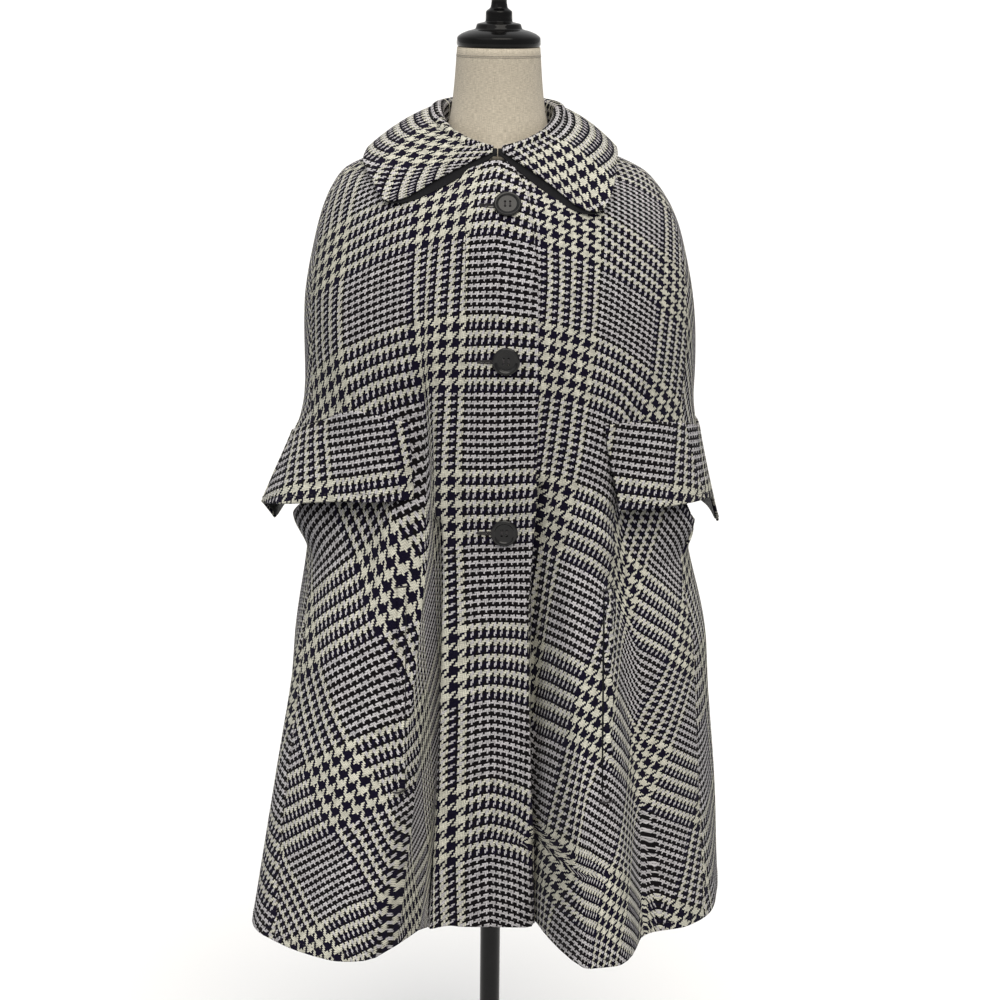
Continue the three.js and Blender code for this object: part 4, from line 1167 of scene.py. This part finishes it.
def make_welt(side, points, layout):
    name = SIDE_NAMES[side]
    tree = kdtree.KDTree(len(points))
    for i, point in enumerate(points):
        tree.insert(point, i)
    tree.balance()
    face = welt_face(side)
    own, _, _ = face.arrays()
    matched = []
    for point in own:
        found = tree.find_n(point, 4)
        weights = np.array([1 / (distance + 0.5) ** 2 for _, _, distance in found])
        matched.append(weights @ layout[[index for _, index, _ in found]] / weights.sum())
    piece = cloth(f"welt_{name}", f"pocket_welt_{name}", face, np.array(matched), WELT_CLOTH, [WOOL])
    declare(face, None)
    # Painted shade: a dark cord of lining along each welt's open edge stands for the shade inside the
    # pocket's opening
    slit, tacks = Bundle(), Bundle()
    height = np.linspace(WELT_TOP - 1, WELT_BOTTOM + 1, 60)
    edge = WELT_X[side] - side * (WELT_WIDTH / 2 + 0.4)
    path, up = on_coat(angle_at(edge, height), height, "skirt", 0.1)
    slit.tube(path, up, SLIT_SHADE_CORD)
    slit.piece(f"pocket_slit_shade_{name}", LINING, "dark_lining")
    for end, rise in ((WELT_TOP + 1, 0), (WELT_BOTTOM - 1, 2)):
        across = np.linspace(-8, 8, 9)
        bowed = end - rise * (1 - (across / 8) ** 2)
        path, up = on_coat(angle_at(WELT_X[side] + across, bowed), bowed, "skirt", WELT_LIFT)
        tacks.tube(path, up, 1.0)
    tacks.piece(f"pocket_tacks_{name}", DARK_THREAD, "dark_lining")


def make_back():
    face, flat = spread(back_face, 1.5, 0, (0, 0))
    points, _, _ = face.arrays()
    piece = cloth("coat_back", "back", face, in_threads(flat) + back_drift(points), CLOTH,
                  [WOOL, LINING])
    declare(face, flat)


def make_cuffs():
    for side in (-1, 1):
        name = SIDE_NAMES[side]
        for is_back, word in ((False, "front"), (True, "back")):
            def build(cell):
                return cuff_face(side, is_back, cell, LAP_LIFT)
            face, flat = spread(build, side * 0.5, CUFF_TURN[side, is_back], CUFF_PLACE[side])
            piece = cloth(f"coat_cuff_{word}_{name}", f"cuff_{word}_{name}", face, in_threads(flat),
                          CLOTH, [WOOL, LINING])
            declare(face, flat)
        face, _, _ = cuff_face(side, True, CELL, LINING_LIFT, (LINING_FROM, LINING_TO), LINING_END)
        points, _, _ = face.arrays()
        piece = cloth(f"cuff_facing_{name}", f"cuff_lining_{name}", face, points[:, [1, 2]],
                      LINING_THICKNESS, [LINING])
        declare(face, None)


def make_collar():
    face, _, columns = collar_face(CELL, THIN_CLOTH + COLLAR_PARTING / 2 + COLLAR_SPARE)
    points, _, _ = face.arrays()
    grid = points.reshape(*face.grids[0].shape, 3)
    down = np.linalg.norm(np.diff(grid, axis=0, prepend=grid[:1]), axis=2).cumsum(0)
    across = columns * COLLAR_HALF + 0 * down
    lean = np.where(columns < 0, *COLLAR_LEAN)
    leaned = across + lean * columns ** 2 * down
    dropped = lean * COLLAR_HALF * np.abs(columns) ** 3 / 3 - down
    flat = np.stack([leaned + COLLAR_SHIFT, dropped], -1).reshape(-1, 2)
    piece = cloth("collar_upper", "collar_top", face, in_threads(flat), THIN_CLOTH + COLLAR_SPARE,
                  [WOOL])
    declare(face, None)
    # The dark lower collar, dropped at the front so that a band of it shows below the top collar:
    # partly its own dark cloth, partly painted shade
    face, _, _ = collar_face(CELL, -COLLAR_PARTING / 2, COLLAR_UNDER_SHADE_DROP, COLLAR_UNDER_START)
    points, _, _ = face.arrays()
    piece = cloth("collar_lower", "collar_under", face, points[:, [0, 2]], THIN_CLOTH, [LINING])
    declare(face, None)


def make_button(number, height, gap):
    """A four-hole button with a raised rim, sewn on with thread."""
    angle = angle_at(BUTTON_X, height)
    place, normal = coat_corner(angle, np.float64(height), "skirt", LAP_LIFT + gap)
    aside = unit(np.cross((0, 0, 1.0), normal))
    turn = np.stack([aside, np.cross(normal, aside), normal])
    outline = [(BUTTON_RADIUS - inset, level) for inset, level in BUTTON_SECTION]
    rings = turned(outline[::-1], 0.5, 96)
    way = np.arange(DRILL_SIDES) * 2 * np.pi / DRILL_SIDES
    circle = BUTTON_HOLE_RADIUS * np.stack([np.cos(way), np.sin(way)], 1)
    places, faces = [], []
    for corner in [(i, j) for i in (-1, 1) for j in (-1, 1)]:
        faces += ring_faces(2, DRILL_SIDES, DRILL_SIDES * len(places))
        for level in (DRILL_FROM, DRILL_TO):
            spots = circle + np.array(corner) * BUTTON_HOLE_SPACING
            places.append(np.concatenate([spots, np.full((DRILL_SIDES, 1), level)], 1))
    blank = add_object("blank", mesh_of("blank", rings.reshape(-1, 3), ring_faces(*rings.shape[:2])))
    cutter = add_object("cutter", mesh_of("cutter", np.concatenate(places), faces))
    drill = blank.modifiers.new("drill", "BOOLEAN")
    drill.operation = "DIFFERENCE"
    drill.object = cutter
    scene_state = bpy.context.evaluated_depsgraph_get()
    drilled = bpy.data.meshes.new_from_object(blank.evaluated_get(scene_state))
    bpy.data.objects.remove(blank)
    bpy.data.objects.remove(cutter)
    points = np.array([tuple(corner.co) for corner in drilled.vertices]) / MM
    faces = [list(polygon.vertices) for polygon in drilled.polygons]
    piece = add_piece(f"button_{number}_body", points @ turn + place, faces, [HORN],
                      (f"button_{number}",))
    piece.data.set_sharp_from_angle(angle=40 * DEGREE)
    thread = Bundle()
    share = np.linspace(-1, 1, 13)
    for column in (-1, 1):
        for strand in STRANDS:
            x = column * BUTTON_HOLE_SPACING + strand
            y = share * BUTTON_HOLE_SPACING
            z = BUTTON_FLOOR + 0.6 - STRAND_DEPTH * np.abs(share) ** 6
            path = np.stack([x + 0 * y, y, z], 1) @ turn + place
            thread.tube(path, normal + 0 * path, STRAND_RADIUS, tapered=False)
    stem = np.stack([np.zeros(3), np.zeros(3), np.linspace(-gap - 0.6, 1.2, 3)], 1) @ turn + place
    thread.tube(stem, aside + 0 * stem, STEM_RADIUS, sides=16, tapered=False)
    thread.piece(f"button_{number}_thread", DARK_THREAD, "dark_lining")


def make_buttonholes():
    """Worked buttonholes in the lapping front, each a slit bound with close stitches."""
    for number, (height, _) in enumerate(BUTTONS, 1):
        bound = Bundle()
        turn = np.linspace(0, 2 * np.pi, 49)
        x = HOLE_X + HOLE_HALF * np.cos(turn)
        z = height - 1 + HOLE_RISE * np.sign(np.sin(turn)) * np.abs(np.sin(turn)) ** 0.6
        path, up = on_coat(angle_at(x, z), z, "skirt", LAP_LIFT)
        bound.stitches((path, up), *HOLE_STITCHES, HOLE_LEAN)
        slit = np.linspace(HOLE_X - HOLE_HALF + 1, HOLE_X + HOLE_HALF - 1, 9)
        path, up = on_coat(angle_at(slit, height - 1 + 0 * slit), height - 1, "skirt", LAP_LIFT - 0.2)
        bound.tube(path, up, 0.6)
        bound.piece(f"buttonhole_{number}", DARK_THREAD, "dark_lining")


def make_stitching():
    """Rows of stitches: beside the front edge, over the hems and cuffs, and across the seams."""
    edge = Bundle()
    height = np.linspace(EDGE_STITCH_TOP, EDGE_STITCH_END, 40)
    line = on_coat(angle_at(EDGE_STITCH_X, height), height, "skirt", LAP_LIFT)
    edge.stitches(line, *EDGE_STITCHES)
    edge.piece("front_edge_stitches", DARK_THREAD, "check_wool")
    hem = Bundle()
    level = HEM_HEIGHT + HEM_STITCH
    for side in (-1, 1):
        seam = abs(float(seam_angle(LOWER_SEAM, np.float64(level), side, 0)))
        start = angle_at(read(FRONT_EDGE, "over", level) - 6 if side < 0 else UNDER_EDGE + 60, level)
        angle = np.linspace(float(start), side * (seam - 1), 90)
        place = coat_point(angle, level, "skirt")
        lift = lap_lift(place[..., 0]) if side < 0 else 0
        hem.stitches(on_coat(angle, level, "skirt", lift), *HEM_STITCHES)
    left, right = (float(read(LOWER_SEAM, name, level)) for name in ("left", "right"))
    angle = np.linspace(left + 1, 359 - right, 200)
    hem.stitches(on_coat(angle, level, "skirt", 0), *HEM_STITCHES)
    hem.piece("hem_stitches", DARK_THREAD, "check_wool")
    cuffs = Bundle()
    for side in (-1, 1):
        angle = np.linspace(36, BACK_SLIT - 2, 120)
        level = by_side(CUFF_FOOT, angle, side) + CUFF_STITCH
        line = on_coat(side * angle, level, "cape", LAP_LIFT + CUFF_EASE)
        cuffs.stitches(line, *HEM_STITCHES)
    cuffs.piece("cuff_stitches", DARK_THREAD, "check_wool")
    seams = Bundle()
    for side in (-1, 1):
        name = SIDE_NAMES[side]
        for source, layer, top, bottom in ((UPPER_SEAM, "cape", 1225, 985),
                                           (LOWER_SEAM, "skirt", 825, HEM_HEIGHT + 4)):
            height = np.linspace(top, bottom, 60)
            line = on_coat(side * read(source, name, height), height, layer, -0.1)
            seams.stitches(line, *SEAM_STITCHES, side * SEAM_LEAN)
    seams.piece("seam_stitches", SEAM_THREAD, "check_wool")


def make_form():
    """The covered dress form with its neck seam, turned cap, pole and base."""
    height = np.arange(FORM["key"][0], FORM["key"][-1] + 0.1, 6)
    height[-1] = FORM["key"][-1]
    angle = np.arange(160) * 2.25
    level = height[:, None]
    depth = np.where(np.abs(wrap(angle)) < 90, read(FORM, "front", level), read(FORM, "back", level))
    radius = ring_radius(angle, read(FORM, "half", level), depth, read(FORM, "power", level))
    radius = radius - FORM_INSET * ease((FORM_COVERED - level) / FORM_EASE)
    rings = np.stack([radius * np.sin(angle * DEGREE), -radius * np.cos(angle * DEGREE),
                      level + 0 * radius], -1)
    loft("form_body", rings, [LINEN], ("dress_form",))
    seams = Bundle()
    turn = np.linspace(0, 2 * np.pi, 97)
    out = np.stack([np.sin(turn), -np.cos(turn), 0 * turn], 1)
    for level in (FORM_SEAM, FORM_SEAM - 1.6):
        ring = out * float(read(FORM, "half", level))
        ring[:, 2] = level
        seams.tube(ring, out, 0.45, tapered=False)
    seams.piece("form_neck_seam", LIGHT_THREAD, "linen")
    cap = turned(CAP, 1.5, 96)
    cap[..., 2] += FORM["key"][-1]
    loft("cap_turned", cap, [LACQUER], ("neck_cap",))
    ends = BASE[-1][1] + SEAM_GAP, FORM["key"][0] - SEAM_GAP
    pole = turned([(POLE_RADIUS, level) for level in ends], 40, 48)
    loft("pole_tube", pole, [PAINT], ("pole",))
    loft("base_disc", turned(BASE, 3, 128), [PAINT], ("base",))


def placed(place, turns):
    """A place with turns about the object's own axes, in degrees."""
    matrix = Matrix.Translation(place)
    for angle, axis in turns:
        matrix = matrix @ Matrix.Rotation(angle * DEGREE, 4, axis)
    return matrix


def make_camera():
    """The camera, turned level to the photograph's tilt and yaw, and rolled a little."""
    lens = bpy.data.cameras.new("camera")
    lens.sensor_width = CAMERA_SENSOR
    lens.lens = CAMERA_LENS
    camera = add_object("camera", lens)
    turns = [(CAMERA_YAW, "Z"), (CAMERA_TILT, "X"), (CAMERA_ROLL, "Z")]
    camera.matrix_world = placed(CAMERA_PLACE, turns)
    bpy.context.scene.camera = camera


def make_floor():
    """A plain pale floor that reaches the horizon and lends the coat no light from below."""
    turn = np.arange(FLOOR_SIDES) * 2 * np.pi / FLOOR_SIDES
    corners = FLOOR_RADIUS * np.stack([np.cos(turn), np.sin(turn), 0 * turn], 1)
    mesh = mesh_of("floor", corners, [list(range(FLOOR_SIDES))])
    mesh.materials.append(Nodes("floor").surface(Base_Color=colour(*FLOOR_TINT), Roughness=0.85))
    floor = add_object("floor", mesh)
    floor.visible_diffuse = False


def make_light():
    """A sky that is brightest overhead and fades below the horizon, and soft suns."""
    sky = Nodes("studio", bpy.data.worlds, "Background")
    place = sky.node("TexCoord").outputs["Generated"]
    up = sky.node("SeparateXYZ", Vector=place).outputs["Z"]
    above = sky.math("MULTIPLY_ADD", up, SKY_RISE, SKY_LEVEL)
    below = sky.math("MULTIPLY_ADD", up, SKY_FALL, SKY_LEVEL)
    strength = sky.math("MAXIMUM", sky.math("MINIMUM", above, below), SKY_LOW)
    bpy.context.scene.world = sky.surface(Color=(1, 1, 1, 1), Strength=strength)
    for name, energy, spread_angle, tip, swing, tint in SUNS:
        sun = bpy.data.lights.new(name, "SUN")
        sun.energy = energy
        sun.color = tint
        sun.angle = spread_angle * DEGREE
        add_object(name, sun).matrix_world = placed((0, 0, 0), [(swing, "Z"), (tip, "X")])


make_fronts()
make_back()
make_cuffs()
make_collar()
for number, (height, gap) in enumerate(BUTTONS, 1):
    make_button(number, height, gap)
make_buttonholes()
make_stitching()
make_form()
make_camera()
make_floor()
make_light()
bpy.context.scene.view_settings.view_transform = "Standard"
